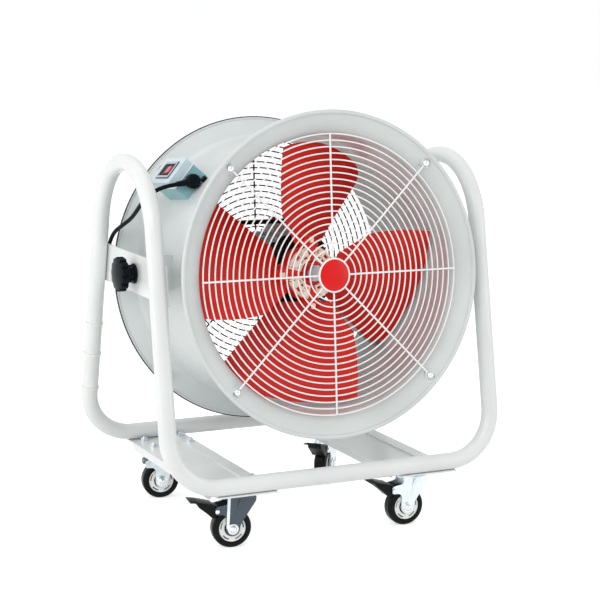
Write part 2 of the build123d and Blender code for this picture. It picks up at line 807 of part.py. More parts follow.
def blade():
    """Wide twisted blade along +Z, trimmed to its outline as seen from the front."""
    sheet_body = loft([blade_section(*values) for values in blade_sections])
    trail = radians(blade_trail_angle)
    tip = blade_tip_radius
    root = hub_radius + blade_root_gap
    lead_z = sqrt(tip ** 2 - blade_lead_offset ** 2)
    root_lead = 0.62 * root
    corner = (tip * sin(trail), tip * cos(trail))
    lead_start = (-blade_lead_offset, blade_lead_start)
    lead_middle = (-blade_lead_offset - blade_lead_bulge, (blade_lead_start + lead_z) / 2)
    outline = make_face(
        Line((-root_lead, root), lead_start)
        + ThreePointArc(lead_start, lead_middle, (-blade_lead_offset, lead_z))
        + ThreePointArc((-blade_lead_offset, lead_z), (0.4 * tip * sin(trail), tip * sqrt(
            1 - (0.4 * sin(trail)) ** 2)), corner)
        + Line(corner, (root * tan(trail), root))
        + Line((root * tan(trail), root), (-root_lead, root))
    )
    tip_corner = outline.vertices().sort_by_distance((corner[0], corner[1], 0))[0]
    outline = fillet(tip_corner, blade_corner)
    cutter = Pos(0, drum_radius, 0) * extrude(Plane.XZ * outline, 2 * drum_radius)
    body = sheet_body & cutter
    shank = z_cylinder(blade_shank_radius, blade_shank_start, root + 16)
    return body + Pos(0, hub_middle, 0) * shank


one_blade = blade()
save("impeller_shaft", on_drum(shaft()))
save("impeller_hub", on_drum(hub()))
save("impeller_blades", *[on_drum(Rot(0, 90 * k, 0) * one_blade) for k in range(blade_count)])
hub_bolt_angles = [90 * k + 45 + s for k in range(4) for s in (-hub_bolt_spread, hub_bolt_spread)]
save("impeller_bolts", *[on_drum(hub_bolt(angle)) for angle in hub_bolt_angles])

# --- Pivot brackets and knobs ---------------------------------------------------------------
bracket_face = plate_inner - running_gap


def pivot_bracket(side):
    """U-shaped bracket out to the pivot plate, open above and below, with its welded stud."""
    depth = bracket_face - drum_radius + 12
    block = Pos(bracket_face - depth / 2, 0, axis_drop) * Box(depth, bracket_length, bracket_height)
    core = Pos(bracket_face - bracket_sheet - depth / 2, 0, axis_drop) * Box(
        depth, bracket_length - 2 * bracket_sheet, bracket_height + 2)
    stud_start = bracket_face - bracket_sheet - stud_tail
    stud = Pos(0, 0, axis_drop) * Rot(0, 90, 0) * z_cylinder(stud_radius, stud_start, plate_outer + stud_reach)
    body = block - core - y_cylinder(drum_radius, -bracket_length, bracket_length) + stud
    return body if side > 0 else Rot(0, 0, 180) * body


def clamp_knob(side):
    """Lobed nut-like knob that turns on the bracket's stud and clamps the pivot plate."""
    seat = plate_outer + running_gap
    neck_end = seat + knob_neck_length
    body = Rot(0, 90, 0) * z_cylinder(knob_flange_radius, seat, seat + knob_flange_thick)
    body += Rot(0, 90, 0) * z_cylinder(knob_neck_radius, seat, neck_end + 1)
    head = z_cylinder(knob_head_radius, neck_end, neck_end + knob_head_thick)
    head = fillet(head.edges().filter_by(GeomType.CIRCLE), 4.0)
    for k in range(knob_lobes):
        notch = z_cylinder(knob_notch_radius, neck_end - 1, neck_end + knob_head_thick + 1,
                           knob_head_radius + 0.25 * knob_notch_radius)
        head -= Rot(0, 0, 360 / knob_lobes * k) * notch
    body += Rot(0, 90, 0) * head
    bore_end = plate_outer + stud_reach + running_gap
    body -= Rot(0, 90, 0) * z_cylinder(stud_radius + pin_gap, seat - 1, bore_end)
    if side < 0:
        body = Rot(0, 0, 180) * body
    return Pos(0, 0, pivot_height) * body


save("pivot_brackets", on_drum(pivot_bracket(-1)), on_drum(pivot_bracket(1)))
save("left_clamp_knob", clamp_knob(-1))
save("right_clamp_knob", clamp_knob(1))

# --- Switch box -----------------------------------------------------------------------------
box_middle = box_front + box_length / 2
seam_radius = drum_radius + box_height - lid_height
lid_radius = drum_radius + box_height


def at_box(shape):
    """Take a shape built with +X away from the drum and +Z round it to the switch box."""
    return on_drum(Rot(0, -box_angle, 0) * shape)


def rounded_block(low, high, length, width, corner):
    block = Pos((low + high) / 2, box_middle, 0) * Box(high - low, length, width)
    return fillet(block.edges().filter_by(Axis.X), corner)


def box_base():
    """Open tray that sits on the drum, its underside curved to fit."""
    inner = box_corner - box_wall / 2
    body = rounded_block(drum_radius - 4, seam_radius, box_length, box_width, box_corner)
    body -= rounded_block(drum_radius + 2 * box_wall, seam_radius + 1, box_length - 2 * box_wall,
                          box_width - 2 * box_wall, inner)
    body -= y_cylinder(drum_radius, -front_reach, rear_reach)
    hole = Pos(drum_radius + gland_height, box_front, 0) * Rot(90, 0, 0) * Cylinder(8, 4 * box_wall)
    return body - hole


def box_lid():
    body = rounded_block(seam_radius, lid_radius, box_length, box_width, box_corner)
    outer_edges = body.faces().sort_by(Axis.X)[-1].edges()
    body = fillet(outer_edges, 1.2)
    body -= rounded_block(seam_radius - 1, lid_radius - box_wall, box_length - 2 * box_wall,
                          box_width - 2 * box_wall, box_corner - box_wall / 2)
    cut_length = bezel_length - bezel_border
    cut_width = bezel_width - bezel_border
    cut = Pos(lid_radius, box_middle, 0) * Box(4 * box_wall, cut_length, cut_width)
    return body - cut


rocker_length = bezel_length - 2 * bezel_border
rocker_width = bezel_width - 2 * bezel_border
rocker_axis = lid_radius - 3.0


def switch_bezel():
    """Switch housing through the lid, with a raised border round the rocker."""
    border = rounded_block(lid_radius, lid_radius + bezel_stand, bezel_length, bezel_width, 2.0)
    shell = Pos(lid_radius - bezel_depth / 2, box_middle, 0) * Box(
        bezel_depth, bezel_length - bezel_border, bezel_width - bezel_border)
    body = border + shell
    room = Pos(lid_radius - bezel_depth / 2 + 4, box_middle, 0) * Box(
        bezel_depth + 4, rocker_length + 2, rocker_width + 2 * running_gap)
    body -= room
    pin = Pos(rocker_axis, box_middle, 0) * Cylinder(rocker_pivot_radius + pin_gap, rocker_width + 4)
    return body - pin


def rocker():
    """Rocker with two sloping faces, resting with its front end pressed in."""
    half = rocker_length / 2 - 0.4
    peak = lid_radius + bezel_stand - rocker_axis + 0.5
    edge = peak + half * tan(radians(rocker_tilt))
    face = make_face(Polyline(
        (peak, 0), (edge, half), (-rocker_depth + peak, half - 3), (-rocker_depth + peak, -half + 3),
        (edge, -half), close=True,
    ))
    body = Pos(0, 0, -rocker_width / 2) * extrude(face, rocker_width)
    body += Cylinder(rocker_pivot_radius, rocker_width + 3)
    return Pos(rocker_axis, box_middle, 0) * Rot(0, 0, rocker_tilt) * body


gland_front = box_front - gland_hex_thick - gland_length
sleeve_y = box_front - gland_hex_thick - gland_length / 2


def cable_gland():
    """Angled cable gland on the front of the box, its tapered sleeve pointing away from the drum."""
    body = y_hexagon(gland_hex_radius, box_front - gland_hex_thick, box_front)
    body += y_cylinder(7.5, box_front - 1, box_front + box_wall + 3)
    barrel = y_cylinder(gland_radius, gland_front, box_front - gland_hex_thick)
    body += fillet(barrel.faces().sort_by(Axis.Y)[0].edges(), 3.0)
    return Pos(drum_radius + gland_height, 0, 0) * body


gland_angle = radians(box_angle)
gland_axis_x = (drum_radius + gland_height) * cos(gland_angle)
gland_axis_z = (drum_radius + gland_height) * sin(gland_angle)
relief_start = gland_radius - 4.0
relief_end = relief_start + relief_length
relief_place = Pos(gland_axis_x, sleeve_y, gland_axis_z) * Rot(0, -90 - relief_droop, 0)
relief = relief_place * Pos(0, 0, (relief_start + relief_end) / 2) * Cone(
    relief_radius, cord_radius + 1.0, relief_length)

save("switch_box_base", at_box(box_base()))
save("switch_box_lid", at_box(box_lid()))
save("switch_bezel", at_box(switch_bezel()))
save("rocker_switch", at_box(rocker()))
save("cable_gland", at_box(cable_gland()) + on_drum(relief))

# --- Cord -----------------------------------------------------------------------------------


def cord_path(points):
    """Straight runs joined by tangent arcs, each as large as its two runs allow."""
    knots = [Vector(*p) for p in points]
    runs = [b - a for a, b in zip(knots, knots[1:])]
    radii = []
    for before, after in zip(runs, runs[1:]):
        turn = radians(before.get_angle(after))
        radii.append(0.45 * min(before.length, after.length) / tan(turn / 2))
    print("cord bend radii", [round(r) for r in radii])
    return Wire(FilletPolyline(*knots, radius=radii).edges())


cord_floor = cord_radius + floor_gap
cord_behind = tube_radius + cord_radius + 0.8
lean_cos = cos(radians(upright_lean))
lean_sin = sin(radians(upright_lean))


def behind_upright(x, z):
    """A point of the cord where it lies behind the left rear upright."""
    tube_z = z - cord_behind * lean_sin
    return (x, upright_y(tube_z) + cord_behind * lean_cos, z)


def on_relief(reach):
    """A point on the axis of the gland's sleeve, beyond its end."""
    return tuple(on_drum(relief_place * Pos(0, 0, relief_end + reach) * Vertex(0, 0, 0)).center())


cord_points = [
    on_relief(0),
    on_relief(17.5),
    (-279.3, -15.4, 650.1),
    (-291.8, -5.0, 640.8),
    (-298.0, 8.0, 630.0),
    (-299.0, 34.0, 611.5),
    (-300.0, 71.0, 586.5),
    (-303.0, 110.0, 569.0),
    (-307.0, 147.0, 552.0),
    (-308.0, 169.0, 530.0),
    (-310.0, 181.0, 503.0),
    (-323.0, 188.5, 473.0),
    (-332.5, 190.5, 441.0),
    behind_upright(-337.2, 400.0),
    behind_upright(-336.8, 345.0),
    behind_upright(-337.2, 275.0),
    behind_upright(-337.0, 203.0),
    (-311.3, 241.5, 159.2),
    (-266.7, 246.4, 134.0),
    (-227.0, 249.5, 129.5),
    (-207.0, 251.0, 120.4),
    (-191.8, 252.6, 104.6),
    (-183.2, 254.2, 84.4),
    (-182.1, 256.4, 47.5),
    (-174.0, 260.9, 27.5),
    (-159.6, 267.8, 12.4),
    (-141.0, 276.3, cord_floor),
    (-124.5, 283.5, cord_floor),
    (-111.9, 296.4, cord_floor),
    (coil_x - coil_outer, 313.1, cord_floor),
    (coil_x - coil_outer, coil_y - 2 * cord_radius, cord_floor),
]
tied_runs = (13, 14, 15)


def half_turn(start, stop, side, low, high):
    """Half a turn between two points of the X axis, on one side of it."""
    middle = ((start + stop) / 2, side * sqrt((stop - start) ** 2 + (high - low) ** 2) / 2, (low + high) / 2)
    return ThreePointArc((start, 0, low), middle, (stop, 0, high))


def coil_path():
    """Lower layer winding in, a climbing half turn, and an upper layer winding out."""
    step = 2 * cord_radius + cord_gap
    low = cord_floor
    high = low + step
    ends = [coil_outer - k * step / 2 for k in range(coil_layer_halves + 1)]
    start = -coil_outer
    edges = [Line((start, -2 * cord_radius, low), (start, 0, low))]
    side = 1
    for end in ends[1:]:
        stop = end if start < 0 else -end
        edges.append(half_turn(start, stop, side, low, low))
        start = stop
        side = -side
    stop = coil_climb_draw - start
    edges.append(half_turn(start, stop, side, low, high))
    start = stop
    side = -side
    for end in reversed(ends[:-1]):
        stop = end if start < 0 else -end
        edges.append(half_turn(start, stop, side, high, high))
        start = stop
        side = -side
    turn = radians(coil_tail_turn)
    bend = (start, -coil_tail, high)
    tail_end = (start - coil_tail * sin(turn), -coil_tail * (1 + cos(turn)), high)
    bend_radius = 0.45 * coil_tail / tan(turn / 2)
    tail = FilletPolyline((start, 0, high), bend, tail_end, radius=bend_radius)
    place = Pos(coil_x, coil_y, 0)
    placed = [place * part for line in edges + [tail] for part in line.edges()]
    return Wire(placed), (coil_x + tail_end[0], coil_y + tail_end[1], high)


def least_self_gap(path, diameter, count=700):
    """Smallest gap between stretches of the tube that aren't neighbours along it."""
    points = [path @ (i / count) for i in range(count + 1)]
    step = path.length / count
    skip = int(3 * diameter / step) + 1
    gap = 1e9
    for i, a in enumerate(points):
        for b in points[i + skip:]:
            gap = min(gap, (a - b).length - diameter)
    return gap


coil, coil_end = coil_path()
print("coil self gap", round(least_self_gap(coil, 2 * cord_radius), 3))


def plug():
    """Moulded plug lying flat: tapered relief, body and two round pins."""
    body_start = -plug_relief
    body_end = body_start - plug_length
    half_thick = coil_end[2] - floor_gap
    relief_cone = Pos(0, body_start / 2, 0) * Rot(-90, 0, 0) * Cone(8.0, cord_radius + 1.2, plug_relief)
    grip = Pos(0, (body_start + body_end) / 2, 0) * Box(plug_width, plug_length, 2 * half_thick)
    grip = fillet(grip.edges().filter_by(Axis.Y), 6.0)
    body = relief_cone + grip
    for side in (-1, 1):
        pin = y_cylinder(plug_pin_radius, body_end - plug_pin_length, body_end + 1)
        body += Pos(side * plug_pin_spacing / 2, 0, 0) * pin
    return Pos(*coil_end) * Rot(0, 0, -coil_tail_turn) * body


def tie(run_start, run_end):
    """Band round the upright and the middle of a straight run of the cord beside it."""
    middle = (Vector(*run_start) + Vector(*run_end)) / 2
    along = Vector(0, -lean_sin, lean_cos)
    foot = Vector(-frame_half_width, rail_half_spacing, rail_height)
    tube = foot + along * (middle - foot).dot(along)
    reach = (middle - tube).length
    plane = Plane(origin=tube, x_dir=middle - tube, z_dir=along)

    def loop(extra):
        round_tube = Circle(tube_radius + extra)
        round_cord = Pos(reach, 0) * Circle(cord_radius + extra)
        return make_hull((round_tube + round_cord).edges())

    band = loop(tie_gap + tie_thick) - loop(tie_gap)
    return extrude(plane * band, tie_width / 2, both=True)


cord = cord_path(cord_points)
cord_tube = tube_along(cord, cord_radius)
print("cord volume ratio", round(cord_tube.volume / (pi * cord_radius ** 2 * cord.length), 4))
print("cord length", round(cord.length), "and coil", round(coil.length))
for half_gap, name in ((0.05, "cord_lead"), (-0.05, "cord_drop")):
    drum_side = Pos(cord_split_x + half_gap, 0, 0) * Box(
        drum_radius, 2 * drum_radius, pivot_height, align=(Align.MIN, Align.CENTER, Align.MIN))
    drum_side = Pos(0, 0, pivot_height / 2) * drum_side
    save(name, cord_tube & drum_side if half_gap > 0 else cord_tube - drum_side)
save("cord_coil", tube_along(coil, cord_radius))
save("plug", plug())
save("cord_ties", *[tie(cord_points[k], cord_points[k + 1]) for k in tied_runs])
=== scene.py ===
import json
from math import cos, pi, radians, sin, tan

import bmesh
import bpy
from mathutils import Matrix, Vector


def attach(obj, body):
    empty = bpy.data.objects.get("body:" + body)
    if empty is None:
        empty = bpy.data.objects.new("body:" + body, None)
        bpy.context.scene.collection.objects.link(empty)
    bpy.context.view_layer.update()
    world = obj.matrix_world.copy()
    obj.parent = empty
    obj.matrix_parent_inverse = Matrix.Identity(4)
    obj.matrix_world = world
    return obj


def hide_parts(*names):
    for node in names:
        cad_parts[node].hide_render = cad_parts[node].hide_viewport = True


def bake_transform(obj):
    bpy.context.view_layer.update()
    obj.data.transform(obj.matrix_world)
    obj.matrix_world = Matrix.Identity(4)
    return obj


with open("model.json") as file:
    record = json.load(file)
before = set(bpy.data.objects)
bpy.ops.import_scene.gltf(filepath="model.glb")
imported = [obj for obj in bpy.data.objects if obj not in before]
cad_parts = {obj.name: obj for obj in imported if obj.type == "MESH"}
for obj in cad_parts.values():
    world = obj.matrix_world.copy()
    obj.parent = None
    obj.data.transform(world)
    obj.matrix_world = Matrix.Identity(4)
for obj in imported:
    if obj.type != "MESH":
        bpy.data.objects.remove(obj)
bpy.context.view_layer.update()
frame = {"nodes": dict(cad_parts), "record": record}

nodes = frame["nodes"]

# --- Sizes, in millimetres, where a piece here has to meet the frame -------------------------
MM = 0.001
PIVOT_HEIGHT = 492.0
AXIS_DROP = 11.5
DRUM_RADIUS = 262.0
FRONT_REACH = 194.0
REAR_REACH = 162.0

# In degrees: how far the drum's nose stands up at rest, and the switch box's place round the drum.
NOSE_UP = 5.67
BOX_ANGLE = 139.8

# Takes the drum's own coordinates, axis along Y, to where the drum stands, in millimetres.
DRUM = (
    Matrix.Translation((0, 0, PIVOT_HEIGHT))
    @ Matrix.Rotation(radians(-NOSE_UP), 4, "X")
    @ Matrix.Translation((0, 0, -AXIS_DROP))
)


# --- Materials --------------------------------------------------------------------------------
# In millimetres. The ripple of orange peel is drawn deeper, and a moulding's grain coarser, than the
# real ones, so that they show at this size. A moulding's faint clouds lie CLOUD_SPACING apart.
PEEL_DEPTH = 0.12
CLOUD_SPACING = 22.0


def linear(code):
    """An sRGB hex colour as the linear colour that Blender works in."""
    def channel(value):
        value = value / 255
        return value / 12.92 if value <= 0.04045 else ((value + 0.055) / 1.055) ** 2.4
    return tuple(channel(int(code[i:i + 2], 16)) for i in (0, 2, 4)) + (1.0,)


def add(tree, kind, values=None, links=None, **settings):
    """Adds a node, sets its own settings and socket values, and links its inputs."""
    node = tree.nodes.new(kind)
    for name, value in settings.items():
        setattr(node, name, value)
    for socket, value in (values or {}).items():
        node.inputs[socket].default_value = value
    for socket, source in (links or {}).items():
        tree.links.new(source, node.inputs[socket])
    return node


def start_material(name):
    """A new material, with its tree, its shader and the place on the object as a pattern reads it."""
    material = bpy.data.materials.new(name)
    material.use_nodes = True
    tree = material.node_tree
    shader = tree.nodes["Principled BSDF"]
    place = add(tree, "ShaderNodeTexCoord").outputs["Object"]
    return material, tree, shader, place


def enamel(name, colour, deeper, roughness, peel_mm=1.2, drift_mm=140, sheen=0.5):
    """Paint or powder coat: a slow drift in its colour and the fine ripple of orange peel."""
    material, tree, shader, place = start_material(name)
    drift = add(tree, "ShaderNodeTexNoise", {"Scale": 1000 / drift_mm, "Detail": 3.0}, {"Vector": place})
    ramp = add(tree, "ShaderNodeValToRGB", links={"Fac": drift.outputs["Fac"]})
    ramp.color_ramp.elements[0].position = 0.35
    ramp.color_ramp.elements[0].color = linear(deeper)
    ramp.color_ramp.elements[1].position = 0.62
    ramp.color_ramp.elements[1].color = linear(colour)
    ripple = add(tree, "ShaderNodeTexNoise", {"Scale": 1000 / peel_mm, "Detail": 2.0}, {"Vector": place})
    bump = add(tree, "ShaderNodeBump", {"Strength": 0.25, "Distance": PEEL_DEPTH * MM},
               {"Height": ripple.outputs["Fac"]})
    tree.links.new(ramp.outputs["Color"], shader.inputs["Base Color"])
    tree.links.new(bump.outputs["Normal"], shader.inputs["Normal"])
    shader.inputs["Roughness"].default_value = roughness
    shader.inputs["IOR"].default_value = 1.5
    shader.inputs["Specular IOR Level"].default_value = sheen
    return material


def moulded(name, colour, deeper, roughness, grain_mm=0.9, depth_mm=0.03, sheen=0.5):
    """Moulded plastic or rubber: a nearly even colour with a fine spark-eroded grain."""
    material, tree, shader, place = start_material(name)
    cloud = add(tree, "ShaderNodeTexNoise", {"Scale": 1000 / CLOUD_SPACING, "Detail": 4.0},
                {"Vector": place})
    ramp = add(tree, "ShaderNodeValToRGB", links={"Fac": cloud.outputs["Fac"]})
    ramp.color_ramp.elements[0].position = 0.3
    ramp.color_ramp.elements[0].color = linear(deeper)
    ramp.color_ramp.elements[1].position = 0.7
    ramp.color_ramp.elements[1].color = linear(colour)
    grain = add(tree, "ShaderNodeTexNoise", {"Scale": 1000 / grain_mm, "Detail": 1.0}, {"Vector": place})
    bump = add(tree, "ShaderNodeBump", {"Strength": 0.3, "Distance": depth_mm * MM},
               {"Height": grain.outputs["Fac"]})
    tree.links.new(ramp.outputs["Color"], shader.inputs["Base Color"])
    tree.links.new(bump.outputs["Normal"], shader.inputs["Normal"])
    shader.inputs["Roughness"].default_value = roughness
    shader.inputs["IOR"].default_value = 1.5
    shader.inputs["Specular IOR Level"].default_value = sheen
    return material


def plated(name, colour, deeper, roughness, spangle_mm=6.0, scratch=(1.0, 1.0, 1.0)):
    """Bare or plated metal: faint clouds in its tone and gloss, stretched where it was drawn."""
    material, tree, shader, place = start_material(name)
    lay = add(tree, "ShaderNodeMapping", {"Scale": scratch}, {"Vector": place})
    cloud = add(tree, "ShaderNodeTexNoise", {"Scale": 1000 / spangle_mm, "Detail": 4.0},
                {"Vector": lay.outputs["Vector"]})
    ramp = add(tree, "ShaderNodeValToRGB", links={"Fac": cloud.outputs["Fac"]})
    ramp.color_ramp.elements[0].position = 0.3
    ramp.color_ramp.elements[0].color = linear(deeper)
    ramp.color_ramp.elements[1].position = 0.7
    ramp.color_ramp.elements[1].color = linear(colour)
    gloss = add(tree, "ShaderNodeMapRange", {"To Min": roughness - 0.06, "To Max": roughness + 0.08},
                {"Value": cloud.outputs["Fac"]})
    tree.links.new(ramp.outputs["Color"], shader.inputs["Base Color"])
    tree.links.new(gloss.outputs["Result"], shader.inputs["Roughness"])
    shader.inputs["Metallic"].default_value = 1.0
    return material


finishes = {
    # White polyester powder coat on steel: bright and satin, with a trace of orange peel.
    "white_paint": enamel("white powder coat", "E4E7E6", "DDE0DF", 0.24),
    # Light grey enamel on the drum, a shade deeper than the frame.
    "drum_paint": enamel("light grey enamel", "D3D8D7", "CBD1D0", 0.38),
    # White dip coat on wire: smooth and satin, lighter than the frame.
    "guard_white": enamel("white wire coating", "F6F7F7", "EEF0F0", 0.30, peel_mm=0.8),
    # Painted shade on the rear wires: white-coated wire drawn dark grey, as it looks in shade against the
    # bright backdrop, close to matt.
    "guard_dark": enamel("dark grey painted shade on rear wires", "2B2D2D", "222424", 0.42, peel_mm=0.8),
    # Bright zinc plate on pressed steel: cool, cloudy and half glossy.
    "zinc": plated("bright zinc plate", "DCE5E9", "CBD5DA", 0.27, spangle_mm=14.0),
    # Painted shade on a zinc-plated pressed fork: slate blue, as zinc looks in shade; dark, cool and half
    # glossy.
    "fork_dark": enamel("painted shade on zinc fork", "47545F", "39454F", 0.32),
    # Nickel-plated screw heads, nearly a mirror.
    "bright_screws": plated("nickel plate", "E2E6E8", "C9CED1", 0.16, spangle_mm=3.0),
    # Ground steel: neutral and satin.
    "bearing_steel": plated("ground steel", "C3C7CA", "A2A7AB", 0.28, 2.0, (1.0, 8.0, 1.0)),
    # Grey machine enamel on the ribbed motor frame, satin over a sand-cast skin.
    "motor_cast": enamel("grey machine enamel", "C2C4C6", "B0B3B5", 0.36, peel_mm=2.0),
    # Black-brown enamel on the end shield: warm, and nearly black in the shade.
    "motor_dark": enamel("black enamel", "1C1714", "13100E", 0.36, sheen=0.15),
    # Varnished laminations: dark brown-grey, with a dull shine in fine stripes.
    "motor_iron": plated("varnished laminations", "6A6560", "4A4642", 0.5, 1.0, (1.0, 14.0, 1.0)),
    # Black satin paint on the flat bar, with little shine.
    "bar_dark": enamel("black satin paint", "101012", "0B0B0D", 0.36, sheen=0.12),
    # Blue-grey paint on the lower arms, satin.
    "arm_paint": enamel("blue-grey paint", "8C9BA6", "7B8A95", 0.40),
    # Cast hub under a warm clear lacquer: cream, glossy and finely clouded.
    "hub_cast": enamel("cream lacquered casting", "FFF6E8", "F6E4C8", 0.24, drift_mm=18),
    # Red enamel on the blades: deep, even and glossy.
    "blade_red": enamel("signal red enamel", "E8281A", "D92014", 0.32, sheen=0.3),
    # Glossy red lens of the badge.
    "badge_red": moulded("glossy red plastic", "E2060A", "D80408", 0.22, depth_mm=0.003, sheen=0.3),
    # Black-blue moulded plastic of the knobs, the gland, the switch window and the wheels' bearing rings;
    # the same black draws painted shade in the wheel slots, along the rear lip and round the switch
    # surround.
    "black_plastic": moulded("black moulded plastic", "10161B", "0B1014", 0.34, sheen=0.07),
    # Teal and pale blue covers of the switch box, smooth-moulded with a soft shine.
    "box_teal": moulded("teal moulded plastic", "8EBFC6", "82B2B9", 0.30, depth_mm=0.012),
    "box_pale": moulded("pale blue moulded plastic", "CFE2EA", "C5DAE2", 0.28, depth_mm=0.012),
    # Moulded nylon of the cable ties: white and a little waxy.
    "tie_nylon": moulded("white nylon", "E9E9E4", "DFDFD8", 0.34),
    # Black enamel on the pedals, satin and nearly neutral.
    "pedal_black": enamel("black pedal enamel", "0F1214", "0A0C0E", 0.32, sheen=0.12),
    # Lilac-grey plastic round the switch, smooth and satin.
    "bezel_grey": moulded("lilac grey plastic", "BFC0CE", "B2B4C4", 0.32, depth_mm=0.012),
    # Glossy pinkish red rocker.
    "rocker_red": moulded("red switch plastic", "E0506A", "D23E58", 0.18, depth_mm=0.004),
    # Black rubber sheath of the cord: faintly grained, with almost no shine.
    "cord_rubber": moulded("black cord rubber", "0C1013", "080B0E", 0.36, grain_mm=1.5, sheen=0.07),
    # Moulded polypropylene wheel centres, white with a soft shine.
    "wheel_cream": moulded("white polypropylene", "FAFAF7", "F4F3EE", 0.30),
    # Black polyurethane tread, smooth and a little glossy.
    "tyre_black": moulded("black tread rubber", "0D1110", "080B0A", 0.28, sheen=0.12),
}
slot_of = {part["node"]: part["material_slot"] for part in frame["record"]["subparts"]}
for name, node in nodes.items():
    node.data.materials.clear()
    node.data.materials.append(finishes[slot_of[name]])

# --- Cord, in millimetres ---------------------------------------------------------------------
CORD_RADIUS = 4.0
CORD_FLOOR = 4.2

# The put-away coil: its outer radius and middle, the step between turns and layers, how far the
# climbing half turn is drawn aside, and the straight tail that turns aside to the plug.
COIL_OUTER = 49.0
COIL_X = -56.2
COIL_Y = 339.3
COIL_STEP = 9.0
COIL_DRAW = 2.5
COIL_TAIL = 34.0
COIL_TAIL_TURN = radians(14.0)
COIL_HALF_STEP = radians(15)

# The upright that the cord is tied to: its radius, its axis at the foot and its lean.
TUBE_RADIUS = 16.0
UPRIGHT_Y = 226.0
UPRIGHT_FOOT = 130.0
LEAN = radians(10.97)
CORD_CLEARANCE = 0.8

# The gland on the switch box: its height above the drum, its middle along the drum, how far its
# tapered sleeve droops from level, and the sleeve's end, where the cord comes out.
GLAND_HEIGHT = 16.4
GLAND_MIDDLE = -37.0
SLEEVE_DROOP = radians(8.0)
SLEEVE_END = 33.0


def behind_upright(x, z):
    """A point of the cord where it lies behind the left rear upright."""
    clear = TUBE_RADIUS + CORD_RADIUS + CORD_CLEARANCE
    upright_y = UPRIGHT_Y - (z - clear * sin(LEAN) - UPRIGHT_FOOT) * tan(LEAN)
    return (x, upright_y + clear * cos(LEAN), z)


def half_turn(start, stop, side, low, high):
    """Six points round half a turn of the coil."""
    centre = (start + stop) / 2
    reach = (start - centre) / cos(COIL_HALF_STEP)
    points = []
    for step in range(6):
        angle = COIL_HALF_STEP * (2 * step + 1)
        height = low + (high - low) * (1 - cos(angle)) / 2
        across = COIL_X + centre + reach * cos(angle)
        points.append((across, COIL_Y + side * abs(reach) * sin(angle), height))
    return points


def coil_points():
    """The lower layer winds in, half a turn climbs, and the upper layer winds out to the plug."""
    low = CORD_FLOOR
    high = low + COIL_STEP
    ends = [COIL_OUTER - k * COIL_STEP / 2 for k in range(4)]
    points = []
    start = -COIL_OUTER
    side = 1
    for end in ends[1:]:
        stop = end if start < 0 else -end
        points += half_turn(start, stop, side, low, low)
        start = stop
        side = -side
    stop = COIL_DRAW - start
    points += half_turn(start, stop, side, low, high)
    start = stop
    side = -side
    for end in reversed(ends[:-1]):
        stop = end if start < 0 else -end
        points += half_turn(start, stop, side, high, high)
        start = stop
        side = -side
    points.append((COIL_X + start, COIL_Y - COIL_TAIL, high))
    points.append((
        COIL_X + start - COIL_TAIL * sin(COIL_TAIL_TURN),
        COIL_Y - COIL_TAIL * (1 + cos(COIL_TAIL_TURN)),
        high,
    ))
    return points


gland_turn = radians(BOX_ANGLE)
gland_reach = DRUM_RADIUS + GLAND_HEIGHT
sleeve_place = (
    DRUM
    @ Matrix.Translation((gland_reach * cos(gland_turn), GLAND_MIDDLE, gland_reach * sin(gland_turn)))
    @ Matrix.Rotation(-pi / 2 - SLEEVE_DROOP, 4, "Y")
)


def on_sleeve(reach):
    """A point on the axis of the gland's sleeve, in millimetres from its end."""
    return tuple(sleeve_place @ Vector((0, 0, SLEEVE_END + reach)))


cord_route = [
    on_sleeve(0),
    on_sleeve(17.5),
    (-279.3, -15.4, 650.1),
    (-291.8, -5.0, 640.8),
    (-298.0, 8.0, 630.0),
    (-299.0, 34.0, 611.5),
    (-300.0, 71.0, 586.5),
    (-303.0, 110.0, 569.0),
    (-307.0, 147.0, 552.0),
    (-308.0, 169.0, 530.0),
    (-310.0, 181.0, 503.0),
    (-323.0, 188.5, 473.0),
    (-332.5, 190.5, 441.0),
    behind_upright(-337.2, 400.0),
    behind_upright(-336.8, 345.0),
    behind_upright(-337.2, 275.0),
    behind_upright(-337.0, 203.0),
    (-311.3, 241.5, 159.2),
    (-266.7, 246.4, 134.0),
    (-227.0, 249.5, 129.5),
    (-207.0, 251.0, 120.4),
    (-191.8, 252.6, 104.6),
    (-183.2, 254.2, 84.4),
    (-182.1, 256.4, 47.5),
    (-174.0, 260.9, 27.5),
    (-159.6, 267.8, 12.4),
    (-141.0, 276.3, CORD_FLOOR),
    (-124.5, 283.5, CORD_FLOOR),
    (-111.9, 296.4, CORD_FLOOR),
    (COIL_X - COIL_OUTER, 313.1, CORD_FLOOR),
] + coil_points()


def route_curve(name, points, radius):
    """A smooth spline with the route's points as its control points."""
    curve = bpy.data.curves.new(name, "CURVE")
    curve.dimensions = "3D"
    curve.resolution_u = 10
    curve.bevel_depth = radius * MM
    curve.bevel_resolution = 5
    curve.use_fill_caps = radius > 0
    spline = curve.splines.new("NURBS")
    spline.points.add(len(points) - 1)
    for knot, point in zip(spline.points, points):
        knot.co = (point[0] * MM, point[1] * MM, point[2] * MM, 1.0)
    spline.order_u = 3
    spline.use_endpoint_u = True
    holder = bpy.data.objects.new(name, curve)
    bpy.context.scene.collection.objects.link(holder)
    return holder


def settled_mesh(name, holder):
    """The holder's curve as a mesh object of its own."""
    bpy.context.view_layer.update()
    mesh = bpy.data.meshes.new_from_object(holder.evaluated_get(bpy.context.evaluated_depsgraph_get()))
    mesh.name = name
    settled = bpy.data.objects.new(name, mesh)
    bpy.context.scene.collection.objects.link(settled)
    bpy.data.objects.remove(holder)
    return settled


line = settled_mesh("cord_line", route_curve("cord_line_route", cord_route, 0.0))
bpy.data.objects.remove(line)
cord = settled_mesh("mains_cord", route_curve("mains_cord_route", cord_route, CORD_RADIUS))
for face in cord.data.polygons:
    face.use_smooth = True
cord.data.materials.clear()
cord.data.materials.append(finishes["cord_rubber"])
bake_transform(cord)
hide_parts("cord_lead", "cord_drop", "cord_coil")

